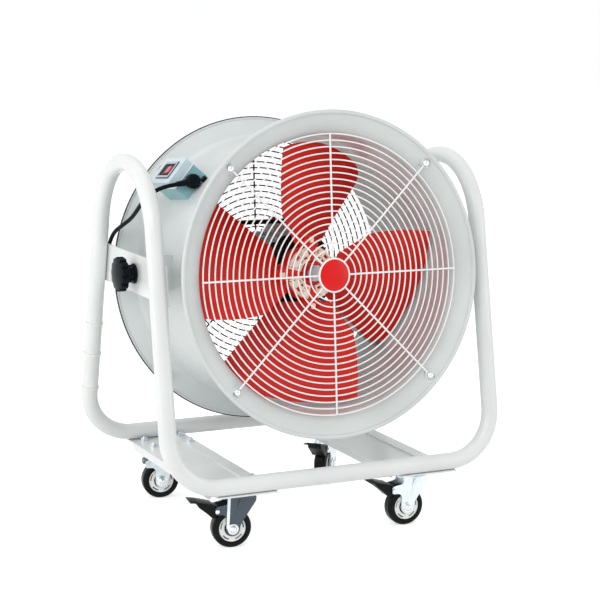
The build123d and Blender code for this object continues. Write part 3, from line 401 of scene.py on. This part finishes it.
# --- Shapes, drawn in millimetres -------------------------------------------------------------
def soften(form, corners, cuts, steps=4):
    """Rounds corners of a wire or a flat face, each cut back by its own length."""
    for corner, cut in zip(corners, cuts):
        if cut:
            bmesh.ops.bevel(form, geom=[corner], offset=cut, segments=steps, profile=0.5,
                            affect="VERTICES", material=-1)


def sharp_edges(form, least=50.0):
    """The edges where two faces meet at more than an angle in degrees."""
    return [edge for edge in form.edges if len(edge.link_faces) == 2
            and edge.calc_face_angle() > radians(least)]


def ease_edges(form, edges, width, steps=2):
    """Rounds edges by a width, or leaves them sharp where it is zero."""
    if width:
        bmesh.ops.bevel(form, geom=edges, offset=width, segments=steps, profile=0.5,
                        affect="EDGES", clamp_overlap=True, material=-1)
    return form


def turned(points, steps=96, angle=360.0, closed=False):
    """Spins a wire through points (radius, place along Y, corner cut) about the Y axis."""
    form = bmesh.new()
    wire = [form.verts.new((radius, along, 0)) for radius, along, cut in points]
    for pair in zip(wire, wire[1:] + wire[:1] if closed else wire[1:]):
        form.edges.new(pair)
    soften(form, wire, [cut for radius, along, cut in points])
    bmesh.ops.spin(form, geom=form.verts[:] + form.edges[:], cent=(0, 0, 0), axis=(0, 1, 0),
                   angle=radians(angle), steps=steps, use_merge=angle == 360.0)
    if angle != 360.0:
        bmesh.ops.holes_fill(form, edges=[edge for edge in form.edges if edge.is_boundary], sides=0)
    return form


def rod(start, end, radius, far_radius=None, sides=20, ease=0.0):
    """A round bar or cone between two points."""
    start, end = Vector(start), Vector(end)
    aim = (end - start).to_track_quat("Z", "Y").to_matrix().to_4x4()
    place = Matrix.Translation((start + end) / 2) @ aim
    form = bmesh.new()
    bmesh.ops.create_cone(form, cap_ends=True, segments=sides, radius1=radius,
                          radius2=radius if far_radius is None else far_radius,
                          depth=(end - start).length, matrix=place)
    return ease_edges(form, sharp_edges(form), ease)


def block(size, centre, ease, steps=2):
    """A box about a centre, with its edges rounded."""
    form = bmesh.new()
    bmesh.ops.create_cube(form, size=1.0)
    bmesh.ops.scale(form, vec=size, verts=form.verts)
    bmesh.ops.translate(form, vec=centre, verts=form.verts)
    return ease_edges(form, form.edges[:], ease, steps)


def plate(points, low, high, ease=0.6):
    """A flat plate in the XZ plane between two places along Y, from points (x, z, corner cut)."""
    form = bmesh.new()
    corners = [form.verts.new((x, low, z)) for x, z, cut in points]
    form.faces.new(corners)
    soften(form, corners, [cut for x, z, cut in points], steps=6)
    grown = bmesh.ops.extrude_face_region(form, geom=form.faces[:])["geom"]
    bmesh.ops.translate(form, vec=(0, high - low, 0),
                        verts=[part for part in grown if isinstance(part, bmesh.types.BMVert)])
    bmesh.ops.recalc_face_normals(form, faces=form.faces)
    return ease_edges(form, sharp_edges(form, 60.0), ease)


def moved(form, *places):
    """The form once for each place."""
    carrier = bpy.data.meshes.new("carrier")
    form.to_mesh(carrier)
    form.free()
    whole = bmesh.new()
    for place in places:
        first = len(whole.verts)
        whole.from_mesh(carrier)
        whole.verts.ensure_lookup_table()
        bmesh.ops.transform(whole, matrix=place, verts=whole.verts[first:])
    bpy.data.meshes.remove(carrier)
    return whole


def joined(*forms):
    """Several forms as one."""
    whole = bmesh.new()
    for form in forms:
        carrier = bpy.data.meshes.new("carrier")
        form.to_mesh(carrier)
        form.free()
        whole.from_mesh(carrier)
        bpy.data.meshes.remove(carrier)
    return whole


def around(count, start=0.0):
    """Even turns about the Y axis, from a start in degrees."""
    return [Matrix.Rotation(radians(start + 360 * k / count), 4, "Y") for k in range(count)]


# A finish of the scene's own is filed under the record's nearest slot.
WELD_REACH = 0.002
CREASE_ANGLE = radians(38.0)


def piece(name, form, body, finish, *replaced, place=DRUM):
    """Sets a form in its place, in metres, as a piece that rides on a body."""
    bmesh.ops.remove_doubles(form, verts=form.verts, dist=WELD_REACH)
    bmesh.ops.recalc_face_normals(form, faces=form.faces)
    bmesh.ops.transform(form, matrix=Matrix.Scale(MM, 4) @ place, verts=form.verts)
    mesh = bpy.data.meshes.new(name)
    form.to_mesh(mesh)
    form.free()
    mesh.shade_smooth()
    mesh.set_sharp_from_angle(angle=CREASE_ANGLE)
    mesh.materials.append(finishes[finish])
    thing = bpy.data.objects.new(name, mesh)
    bpy.context.scene.collection.objects.link(thing)
    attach(thing, body)
    if replaced:
        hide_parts(*replaced)


# --- Guards and badge -------------------------------------------------------------------------
GUARD_DEPTH = 10.0
GUARD_RINGS = 19
INNER_RING = 47.5
OUTER_RING = 260.6
RING_WIRE = 1.4
SPOKE_WIRE = 1.75
WIRE_SINK = 0.6
SCREW_CIRCLE = 285.7
SCREW_HEAD = 8.0
EYELET_THICK = 2.4
BADGE_RADIUS = 32.5
# The rear lip's painted shadow line: its radius, its inset from the rim and its wire.
LIP_SHADE_RADIUS = 303.6
LIP_SHADE_INSET = 6.6
LIP_SHADE_WIRE = 1.2


def hoop(radius, along, wire, steps):
    """A ring of round wire about the Y axis."""
    form = bmesh.new()
    bmesh.ops.create_circle(form, cap_ends=False, segments=10, radius=wire,
                            matrix=Matrix.Translation((radius, along, 0)))
    bmesh.ops.spin(form, geom=form.verts[:] + form.edges[:], cent=(0, 0, 0), axis=(0, 1, 0),
                   angle=2 * pi, steps=steps, use_merge=True)
    return form


def guard(rim_y, outward):
    """Wire rings welded behind four crossing spokes, with an eyelet for each screw."""
    seat_y = rim_y - outward * GUARD_DEPTH
    spoke_y = seat_y + outward * SPOKE_WIRE
    ring_y = spoke_y - outward * (SPOKE_WIRE + RING_WIRE - WIRE_SINK)
    pitch = (OUTER_RING - INNER_RING) / (GUARD_RINGS - 1)
    radii = [INNER_RING + k * pitch for k in range(GUARD_RINGS)]
    rings = [hoop(radius, ring_y, RING_WIRE, int(30 + radius / 3)) for radius in radii]
    straight = rod((-OUTER_RING, spoke_y, 0), (OUTER_RING, spoke_y, 0), SPOKE_WIRE, sides=16, ease=0.6)
    reach = SCREW_CIRCLE - SCREW_HEAD
    slanted = rod((-reach, spoke_y, 0), (reach, spoke_y, 0), SPOKE_WIRE, sides=16)
    eyelet = turned([(3.3, 0, 0.5), (9.0, 0, 0.7), (9.0, EYELET_THICK, 0.7), (3.3, EYELET_THICK, 0.5)],
                    32, closed=True)
    eyelet_y = min(seat_y, seat_y + outward * EYELET_THICK)
    eyelet = moved(eyelet, Matrix.Translation((SCREW_CIRCLE, eyelet_y, 0)))
    return joined(
        *rings,
        moved(straight, *around(4)[:2]),
        moved(slanted, *around(4, 45)[:2]),
        moved(eyelet, *around(4, 45)),
    )


piece("front_wire_guard", guard(-FRONT_REACH, -1), "drum", "guard_white", "front_guard")
# The rear guard's wires are drawn dark grey as painted shade.
piece("rear_wire_guard", guard(REAR_REACH, 1), "drum", "guard_dark", "rear_guard")

badge_back = -FRONT_REACH + GUARD_DEPTH - 2 * SPOKE_WIRE
dome = turned([(0, 4.2, 0), (12, 4.0, 3), (24, 3.3, 4), (29.6, 2.4, 0.8), (29.6, 0, 0), (0, 0, 0)], 96)
brim = turned([(29.4, 0, 0), (BADGE_RADIUS, 0, 0.8), (BADGE_RADIUS, 3.4, 1.4), (29.4, 3.4, 1.0)],
              96, closed=True)
badge_place = DRUM @ Matrix.Translation((0, badge_back, 0)) @ Matrix.Rotation(pi, 4, "Z")
piece("badge_dome", dome, "drum", "badge_red", "badge", place=badge_place)
piece("badge_brim", brim, "drum", "guard_white", place=badge_place)

# A thin black ring on the drum side of the rear rolled lip is painted shade: the shadow line in the gap
# between lip and cone.
lip_shade_ring = hoop(LIP_SHADE_RADIUS, REAR_REACH - LIP_SHADE_INSET, LIP_SHADE_WIRE, 180)
piece("rear_lip_shade_line", lip_shade_ring, "drum", "black_plastic")

# --- Hub --------------------------------------------------------------------------------------
HUB_MIDDLE = -79.0
HUB_HALF = 22.0
HUB_FRONT = HUB_MIDDLE - HUB_HALF
HUB_REAR = HUB_MIDDLE + HUB_HALF
HUB_BORE = 12.0
RIB_THICK = 4.8
CAST_EASE = 0.9


def arc_rib(inner, span, low, high):
    """A curved rib about the hub's axis, with rounded edges, centred on the X direction."""
    outer = inner + RIB_THICK
    rib = turned([(inner, low, 0), (outer, low, 0), (outer, high, CAST_EASE), (inner, high, CAST_EASE)],
                 16, angle=span, closed=True)
    return moved(rib, Matrix.Rotation(radians(-span / 2), 4, "Y"))


def clamp_ear():
    """One of the hub's four clamps: curved ribs with open slots between, end walls and two bolt bosses."""
    forms = [arc_rib(inner, span, HUB_FRONT + 8.0, HUB_FRONT + drop)
             for inner, span, drop in ((24.0, 70.0, 2.0), (33.5, 66.0, 0.0), (45.0, 56.0, 1.5))]
    for angle in (-31.0, -9.0, 9.0, 31.0):
        wall = block((24.0, 7.0, 3.6), (38.0, HUB_FRONT + 5.0, 0), CAST_EASE)
        forms.append(moved(wall, Matrix.Rotation(radians(angle), 4, "Y")))
    for angle in (-19.0, 19.0):
        boss = turned([(0, HUB_FRONT - 1.6, 0), (4.6, HUB_FRONT - 1.6, 1.0), (5.4, HUB_FRONT + 6, 0),
                       (0, HUB_FRONT + 6, 0)], 24)
        swing = Matrix.Rotation(radians(angle), 4, "Y")
        forms.append(moved(boss, swing @ Matrix.Translation((42.0, 0, 0))))
    return joined(*forms)


def shank_sleeve():
    """The collared sleeve that holds a blade's shank, drawn along Z from the hub's middle."""
    sleeve = turned([
        (13.0, 24.0, 0), (19.0, 24.0, 0), (19.0, 50.0, 1.0), (21.0, 51.5, 0.8), (21.0, 56.0, 0.8),
        (19.0, 57.5, 0.8), (18.2, 64.0, 1.2), (13.0, 64.0, 0.8)], 48, closed=True)
    return moved(sleeve, Matrix.Translation((0, HUB_MIDDLE, 0)) @ Matrix.Rotation(pi / 2, 4, "X"))


hub_disc = turned([
    (HUB_BORE, HUB_FRONT + 3, 0.8), (21.0, HUB_FRONT + 3, 1.5), (23.0, HUB_FRONT + 8, 2.0),
    (49.0, HUB_FRONT + 8, 2.0), (53.0, HUB_FRONT + 13, 2.5), (53.0, HUB_REAR - 5, 3.0),
    (48.0, HUB_REAR, 2.0), (HUB_BORE, HUB_REAR, 0.8)], 96, closed=True)
piece("hub_disc", joined(hub_disc, moved(shank_sleeve(), *around(4))), "impeller", "blade_red")
root_pad = block((11.0, 5.0, 8.0), (63.0, HUB_MIDDLE - 19.6, 0), 1.2)

# The impeller's bolts lie under the same cream lacquer as the cast hub.
nodes["impeller_bolts"].data.materials[0] = finishes["hub_cast"]
piece("cast_hub", joined(moved(clamp_ear(), *around(4, 45)), moved(root_pad, *around(4))),
      "impeller", "hub_cast", "impeller_hub")

# --- Motor ends -------------------------------------------------------------------------------
END_RADIUS = 74.0
EAR_HEIGHT = 72.5

bell = turned([
    (13.0, -46, 0.8), (34.0, -46, 2.5), (38.0, -40, 3.0), (66.0, -38, 5.0), (END_RADIUS, -34, 2.0),
    (END_RADIUS, -30, 0.8), (13.0, -30, 0)], 96, closed=True)
bell_rib = block((5.0, 6.0, 30.0), (0, -38.5, 52.0), 1.4)
bell_ear = block((14.0, 7.0, 12.0), (0, -33.6, EAR_HEIGHT), 2.0)
piece("front_end_shield", joined(bell, moved(bell_rib, *around(8, 22.5)), moved(bell_ear, *around(4, 45))),
      "drum", "motor_dark", "motor_front_bell")

cover = turned([
    (26.0, 112, 0), (END_RADIUS, 112, 0.8), (END_RADIUS, 118, 2.5), (61.0, 120.5, 2.5), (58.0, 128, 4.0),
    (44.0, 131.4, 3.0), (0.0, 131.4, 0), (0.0, 129, 0), (26.0, 129, 0), (26.0, 112, 0)], 96)
slat = block((2.6, 1.6, 22.0), (0, 131.2, 31.0), 0.5)
cover_ear = block((14.0, 8.0, 12.0), (0, 116.0, EAR_HEIGHT), 2.0)
piece("rear_end_shield", joined(cover, moved(slat, *around(16)), moved(cover_ear, *around(4, 45))),
      "drum", "motor_cast", "motor_rear_cover")

# --- Clamp knobs ------------------------------------------------------------------------------
KNOB_SEAT = 321.3
KNOB_BORE = 6.1
KNOB_BORE_DEPTH = 20.4
KNOB_RIBS = 13
KNOB_FLUTES = 8


def knob():
    """Nut-like knob drawn along +Y from the pivot plate: flange, fluted neck, ribbed head, blind bore."""
    body = turned([
        (KNOB_BORE, 0, 0.3), (18.6, 0, 1.2), (19.5, 2.4, 1.2), (18.0, 4.6, 1.4), (14.6, 6.0, 1.6),
        (14.4, 14.0, 3.0), (17.5, 18.0, 2.5), (27.5, 19.2, 1.8), (29.0, 21.5, 1.5), (29.4, 33.0, 1.5),
        (28.4, 35.4, 1.8), (14.0, 38.2, 6.0), (0, 38.9, 0), (0, KNOB_BORE_DEPTH, 0),
        (KNOB_BORE, KNOB_BORE_DEPTH, 0), (KNOB_BORE, 0, 0)], 96)
    rib = block((7.0, 14.0, 9.4), (28.9, 27.6, 0), 1.7, 3)
    flute = rod((14.6, 5.0, 0), (15.4, 19.0, 0), 1.9, 2.2, 12, 0.6)
    return joined(body, moved(rib, *around(KNOB_RIBS)), moved(flute, *around(KNOB_FLUTES)))


for side, turn, label in ((-1, 90, "left"), (1, -90, "right")):
    seat = Matrix.Translation((side * KNOB_SEAT, 0, PIVOT_HEIGHT))
    piece(f"{label}_knob_handle", knob(), f"{label}_knob", "black_plastic", f"{label}_clamp_knob",
          place=seat @ Matrix.Rotation(radians(turn), 4, "Z"))

# --- Switch -----------------------------------------------------------------------------------
# Takes X, Y and Z to outwards, along and across the box on the drum.
BOX = DRUM @ Matrix.Rotation(radians(-BOX_ANGLE), 4, "Y")
BOX_MIDDLE = 24.5
LID_SEAM = DRUM_RADIUS + 32.0
LID_TOP = DRUM_RADIUS + 50.0
ROCKER_TIP = radians(8)


def tray(length, width, border, low, high, depth, ease):
    """A low block with a flat-bottomed well in its top."""
    form = block((high - low, length, width), ((low + high) / 2, BOX_MIDDLE, 0), 0)
    top = max(form.faces, key=lambda face: face.calc_center_median().x)
    bmesh.ops.inset_region(form, faces=[top], thickness=border)
    well = bmesh.ops.extrude_discrete_faces(form, faces=[top])["faces"][0]
    bmesh.ops.translate(form, vec=(-depth, 0, 0), verts=well.verts)
    return ease_edges(form, sharp_edges(form, 60.0), ease)


piece("switch_seam", block((1.8, 98.6, 60.6), (LID_SEAM, BOX_MIDDLE, 0), 0.4),
      "drum", "guard_white", place=BOX)
# A thin black rim just outside the surround is painted shade along the surround's foot.
piece("switch_edge_shade", block((1.6, 62.4, 39.4), (LID_TOP + 0.5, BOX_MIDDLE, 0), 0.4),
      "drum", "black_plastic", place=BOX)
piece("switch_surround", tray(60.0, 37.0, 6.2, LID_TOP - 2.0, LID_TOP + 2.5, 1.6, 0.5),
      "drum", "bezel_grey", "switch_bezel", place=BOX)
piece("switch_window", tray(47.0, 24.0, 2.6, LID_TOP - 8.0, LID_TOP + 2.0, 4.0, 0.4),
      "drum", "black_plastic", place=BOX)
rocker_seat = Matrix.Translation((LID_TOP - 3.0, BOX_MIDDLE, 0))
piece("rocker_paddle", block((9.0, 37.0, 15.4), (0.4, 0, 0), 1.2, 3),
      "rocker", "rocker_red", "rocker_switch", place=BOX @ rocker_seat @ Matrix.Rotation(ROCKER_TIP, 4, "Z"))

gland_rib = rod((12.6, -44.0, 0), (12.6, -30.0, 0), 1.5, sides=10, ease=0.5)
gland_place = BOX @ Matrix.Translation((gland_reach, 0, 0))
piece("gland_ribs", moved(gland_rib, *around(16)), "drum", "black_plastic", place=gland_place)

# --- Castors ----------------------------------------------------------------------------------
CASTOR_X = 183.0
CASTOR_Y = 177.0
WHEEL_HEIGHT = 37.5
AXLE_X = -15.0
LEG_INNER = 15.3
LEG_OUTER = 17.8
CROWN_LOW = 97.7
CROWN_TOP = 100.7
CROWN_RADIUS = 31.0
SWIVEL_BORE = 6.1
AXLE_RADIUS = 4.0

# A leg's corners (x, z, corner cut), with the ear that holds the pedal's pin.
LEG_OUTLINE = [
    (-28, 24.5, 12.8), (-2, 24.5, 12.8), (-2, 44.0, 8.0), (29, 90.0, 3.0), (29, 98.5, 0), (-25, 98.5, 0),
    (-25, 85.0, 4.0), (-49, 80.0, 4.0), (-49, 66.0, 5.0), (-27, 66.0, 10.0), (-28, 50.0, 5.0),
]


def fork():
    """Pressed fork: two shaped legs with a pressed dart each, under a round crown."""
    near = plate(LEG_OUTLINE, -LEG_OUTER, -LEG_INNER)
    far = plate(LEG_OUTLINE, LEG_INNER, LEG_OUTER)
    crown = turned([
        (SWIVEL_BORE, CROWN_LOW, 0), (29.5, CROWN_LOW, 0.8), (CROWN_RADIUS, CROWN_LOW + 0.6, 0.4),
        (CROWN_RADIUS, CROWN_TOP, 0.8), (SWIVEL_BORE, CROWN_TOP, 0)], 64, closed=True)
    crown = moved(crown, Matrix.Rotation(pi / 2, 4, "X"))
    darts = [rod((-9.0, side * (LEG_OUTER - 1.6), 60.0), (2.0, side * (LEG_OUTER + 1.0), 97.6),
                 1.6, 5.0, 16, 0.8) for side in (-1, 1)]
    return joined(near, far, crown, *darts)


def on_both_legs(form, x=0.0, z=0.0):
    """A form drawn along +Y, once on each leg's outer face."""
    return moved(form, Matrix.Translation((x, LEG_OUTER, z)),
                 Matrix.Translation((x, -LEG_OUTER, z)) @ Matrix.Rotation(pi, 4, "X"))


def axle():
    """Axle with a washer and a bright domed cap at each end."""
    cap = turned([
        (0, 6.4, 0), (3.4, 6.0, 1.0), (6.0, 4.0, 1.4), (6.6, 2.4, 0.6), (10.4, 1.6, 0.8),
        (10.8, 0, 0.2), (0, 0, 0)], 40)
    bar = rod((0, -LEG_OUTER, 0), (0, LEG_OUTER, 0), AXLE_RADIUS, sides=24)
    return joined(bar, on_both_legs(cap))


def wheel_core():
    """Moulded centre: an outer band, a dished web with thin slots beside the band, and a hub."""
    band = turned([(22.6, -12, 0.6), (25.5, -12, 0.8), (25.5, 12, 0.8), (22.6, 12, 0.6), (22.4, 6, 1.0),
                   (22.4, -6, 1.0)], 72, closed=True)
    web = turned([(4.1, -15, 0), (9.5, -15, 0.8), (12.0, -13, 1.0), (13.5, -11.4, 0.8), (20.4, -11.8, 1.2),
                  (20.4, 11.8, 1.2), (13.5, 11.4, 0.8), (12.0, 13, 1.0), (9.5, 15, 0.8), (4.1, 15, 0)],
                 72, closed=True)
    bridge = turned([(20.0, -11.4, 0.5), (23.0, -11.4, 0.5), (23.0, 11.4, 0.5), (20.0, 11.4, 0.5)],
                    12, angle=34.0, closed=True)
    return joined(band, web, moved(bridge, *around(5)))


def bearing_rings_and_slot_shade():
    """Dark bearing rings, and a ring of painted shade that fills the slots beside the band."""
    ring = turned([(12.4, 9.6, 0), (15.0, 9.6, 0.4), (15.0, 12.0, 0.8), (12.4, 13.0, 0.5)], 48, closed=True)
    rings = moved(ring, Matrix.Identity(4), Matrix.Rotation(pi, 4, "X"))
    # Painted shade: a dark ring between web and band that makes the slots look dark.
    slot_shade = turned([(20.2, -9.6, 0), (22.9, -9.6, 0), (22.9, 9.6, 0), (20.2, 9.6, 0)], 72, closed=True)
    return joined(rings, slot_shade)


PEDAL_PIN = (-45.0, 73.0)
PEDAL_REACH = 97.0
TREAD_HALF = 19.0
SHOE_HALF = 14.6


def pedal():
    """Foot lever: a cast shoe on its cross pin under a ribbed sheet tread."""
    end = -PEDAL_REACH
    pin_x, pin_z = PEDAL_PIN
    shoe = plate([
        (pin_x + 6, pin_z + 3, 2.0), (pin_x + 3, pin_z + 8, 1.0), (end + 14, 91.0, 3.0),
        (end + 16, 83.0, 4.0), (end + 34, 69.0, 6.0), (pin_x - 9, pin_z - 13, 3.0),
        (pin_x - 4, pin_z - 13, 2.0), (pin_x + 4, pin_z - 3, 2.0)], -SHOE_HALF, SHOE_HALF, 1.0)
    tread = plate([
        (-51.0, 83.2, 0.8), (end + 14, 91.0, 6.0), (end, 92.5, 0.8), (end, 94.5, 0.8),
        (end + 14, 93.0, 6.0), (-51.0, 85.2, 0.8)], -TREAD_HALF, TREAD_HALF, 0.6)
    rib_half = TREAD_HALF - 3
    rib = rod((end + 2.5, -rib_half, 94.0), (end + 2.5, rib_half, 94.0), 0.9, sides=10, ease=0.3)
    ribs = moved(rib, *(Matrix.Translation((4 * k, 0, -0.43 * k)) for k in range(4)))
    pin_half = LEG_OUTER + 2.3
    pin = rod((pin_x, -pin_half, pin_z), (pin_x, pin_half, pin_z), 2.5, sides=20, ease=0.5)
    return joined(shoe, tread, pin, ribs)


def pedal_rivets():
    """The closed-over ends of the pedal's pin."""
    rivet = turned([(0, 2.6, 0), (4.0, 2.2, 0.8), (4.6, 0, 0.3), (0, 0, 0)], 24)
    return on_both_legs(rivet, *PEDAL_PIN)


# Each castor's corner of the frame, and how far its fork is turned at rest, in degrees.
for label, side_x, side_y, heading in (
    ("front_left", -1, -1, -9.0), ("front_right", 1, -1, -2.0),
    ("rear_left", -1, 1, -8.0), ("rear_right", 1, 1, 43.0),
):
    stand = (Matrix.Translation((side_x * CASTOR_X, side_y * CASTOR_Y, 0))
             @ Matrix.Rotation(radians(heading), 4, "Z"))
    wheel = stand @ Matrix.Translation((AXLE_X, 0, WHEEL_HEIGHT))
    castor = f"{label}_castor"
    rolling = f"{label}_wheel"
    piece(f"{label}_pressed_fork", fork(), castor, slot_of[f"{label}_fork"], f"{label}_fork", place=stand)
    piece(f"{label}_axle_caps", axle(), castor, "bright_screws", f"{label}_axle", place=wheel)
    piece(f"{label}_wheel_centre", wheel_core(), rolling, "wheel_cream", f"{label}_wheel_core", place=wheel)
    if label == "front_left":
        # The front left fork is drawn in painted shade; this strip in its own zinc is the lit front edge of
        # a leg.
        edge = plate([(-28, 38, 3), (-22.5, 38, 2), (-20.0, 98, 0), (-26.0, 98, 0)],
                     -LEG_OUTER - 1.0, -LEG_OUTER + 0.3)
        piece("front_left_fork_edge", edge, castor, "zinc", place=stand)
    if label != "rear_left":
        piece(f"{label}_pedal", pedal(), f"{label}_brake", "pedal_black", f"{label}_brake_pedal",
              place=stand)
        piece(f"{label}_pedal_rivets", pedal_rivets(), castor, "bright_screws", place=stand)
    # Each wheel's bearing rings, with painted shade in its slots.
    piece(f"{label}_wheel_rings_and_slot_shade", bearing_rings_and_slot_shade(), rolling, "black_plastic", place=wheel)

# --- Studio -----------------------------------------------------------------------------------
SKY_STRENGTH = 0.58
FLOOR_GLOW = 0.54
FLOOR_HALF = 14.0


def background_rays(tree):
    """One for the camera's rays and for those by way of metal or glass, which show the background too."""
    rays = add(tree, "ShaderNodeLightPath").outputs
    bounced = add(tree, "ShaderNodeMath", links={0: rays["Is Glossy Ray"], 1: rays["Is Transmission Ray"]},
                  operation="MAXIMUM")
    return add(tree, "ShaderNodeMath", links={0: rays["Is Camera Ray"], 1: bounced.outputs[0]},
               operation="MAXIMUM").outputs[0]


world = bpy.data.worlds.new("studio")
bpy.context.scene.world = world
world.use_nodes = True
tree = world.node_tree
tree.nodes.clear()
shown = background_rays(tree)
soft = add(tree, "ShaderNodeBackground", {"Color": (1, 1, 1, 1), "Strength": SKY_STRENGTH})
white = add(tree, "ShaderNodeBackground", {"Color": (1, 1, 1, 1), "Strength": 1.0})
mixed = add(tree, "ShaderNodeMixShader", links={0: shown, 1: soft.outputs[0], 2: white.outputs[0]})
add(tree, "ShaderNodeOutputWorld", links={"Surface": mixed.outputs[0]})

floor_mesh = bpy.data.meshes.new("studio_floor")
shape = bmesh.new()
bmesh.ops.create_grid(shape, x_segments=4, y_segments=4, size=FLOOR_HALF)
shape.to_mesh(floor_mesh)
shape.free()
floor = bpy.data.objects.new("studio_floor", floor_mesh)
bpy.context.scene.collection.objects.link(floor)
material, tree, shader, place = start_material("pale studio floor")
shader.inputs["Base Color"].default_value = linear("F4F4F4")
shader.inputs["Roughness"].default_value = 0.9
glow = add(tree, "ShaderNodeEmission", {"Color": (1, 1, 1, 1), "Strength": FLOOR_GLOW})
lift = add(tree, "ShaderNodeMixShader", links={0: background_rays(tree), 1: shader.outputs[0]})
both = add(tree, "ShaderNodeAddShader", links={0: shader.outputs[0], 1: glow.outputs[0]})
tree.links.new(both.outputs[0], lift.inputs[2])
tree.links.new(lift.outputs[0], tree.nodes["Material Output"].inputs["Surface"])
floor_mesh.materials.append(material)


def softbox(name, place, target, size, power):
    """A square area lamp aimed at a point."""
    lamp = bpy.data.lights.new(name, "AREA")
    lamp.size = size
    lamp.energy = power
    holder = bpy.data.objects.new(name, lamp)
    holder.location = place
    holder.rotation_euler = (Vector(target) - Vector(place)).to_track_quat("-Z", "Y").to_euler()
    bpy.context.scene.collection.objects.link(holder)


softbox("key_light", (-2.2, -2.4, 2.6), (0, 0, 0.4), 2.4, 47)
softbox("side_light", (-3.4, 0.2, 1.3), (0, 0, 0.45), 2.2, 34)
softbox("fill_light", (2.6, -2.2, 1.4), (0, 0, 0.4), 2.4, 22)
softbox("top_light", (0.0, 0.6, 3.4), (0, 0, 0.4), 2.6, 16)

# --- Camera, in metres, fitted to the photograph's view ---------------------------------------
CAMERA_PLACE = (-1.4441, -2.9599, 0.9846)
yaw = radians(26.38)
pitch = radians(9.68)
roll = radians(0.98)
ahead = Vector((sin(yaw) * cos(pitch), cos(yaw) * cos(pitch), -sin(pitch)))
level = ahead.cross(Vector((0, 0, 1))).normalized()
above = level.cross(ahead)
right = level * cos(roll) + above * sin(roll)
up = above * cos(roll) - level * sin(roll)
camera_data = bpy.data.cameras.new("photo_view")
camera_data.lens = 102.7
camera_data.sensor_width = 36.0
camera = bpy.data.objects.new("photo_view", camera_data)
turn = Matrix((right, up, -ahead)).transposed().to_4x4()
camera.matrix_world = Matrix.Translation(CAMERA_PLACE) @ turn
bpy.context.scene.collection.objects.link(camera)
bpy.context.scene.camera = camera
bpy.context.scene.view_settings.view_transform = "Standard"
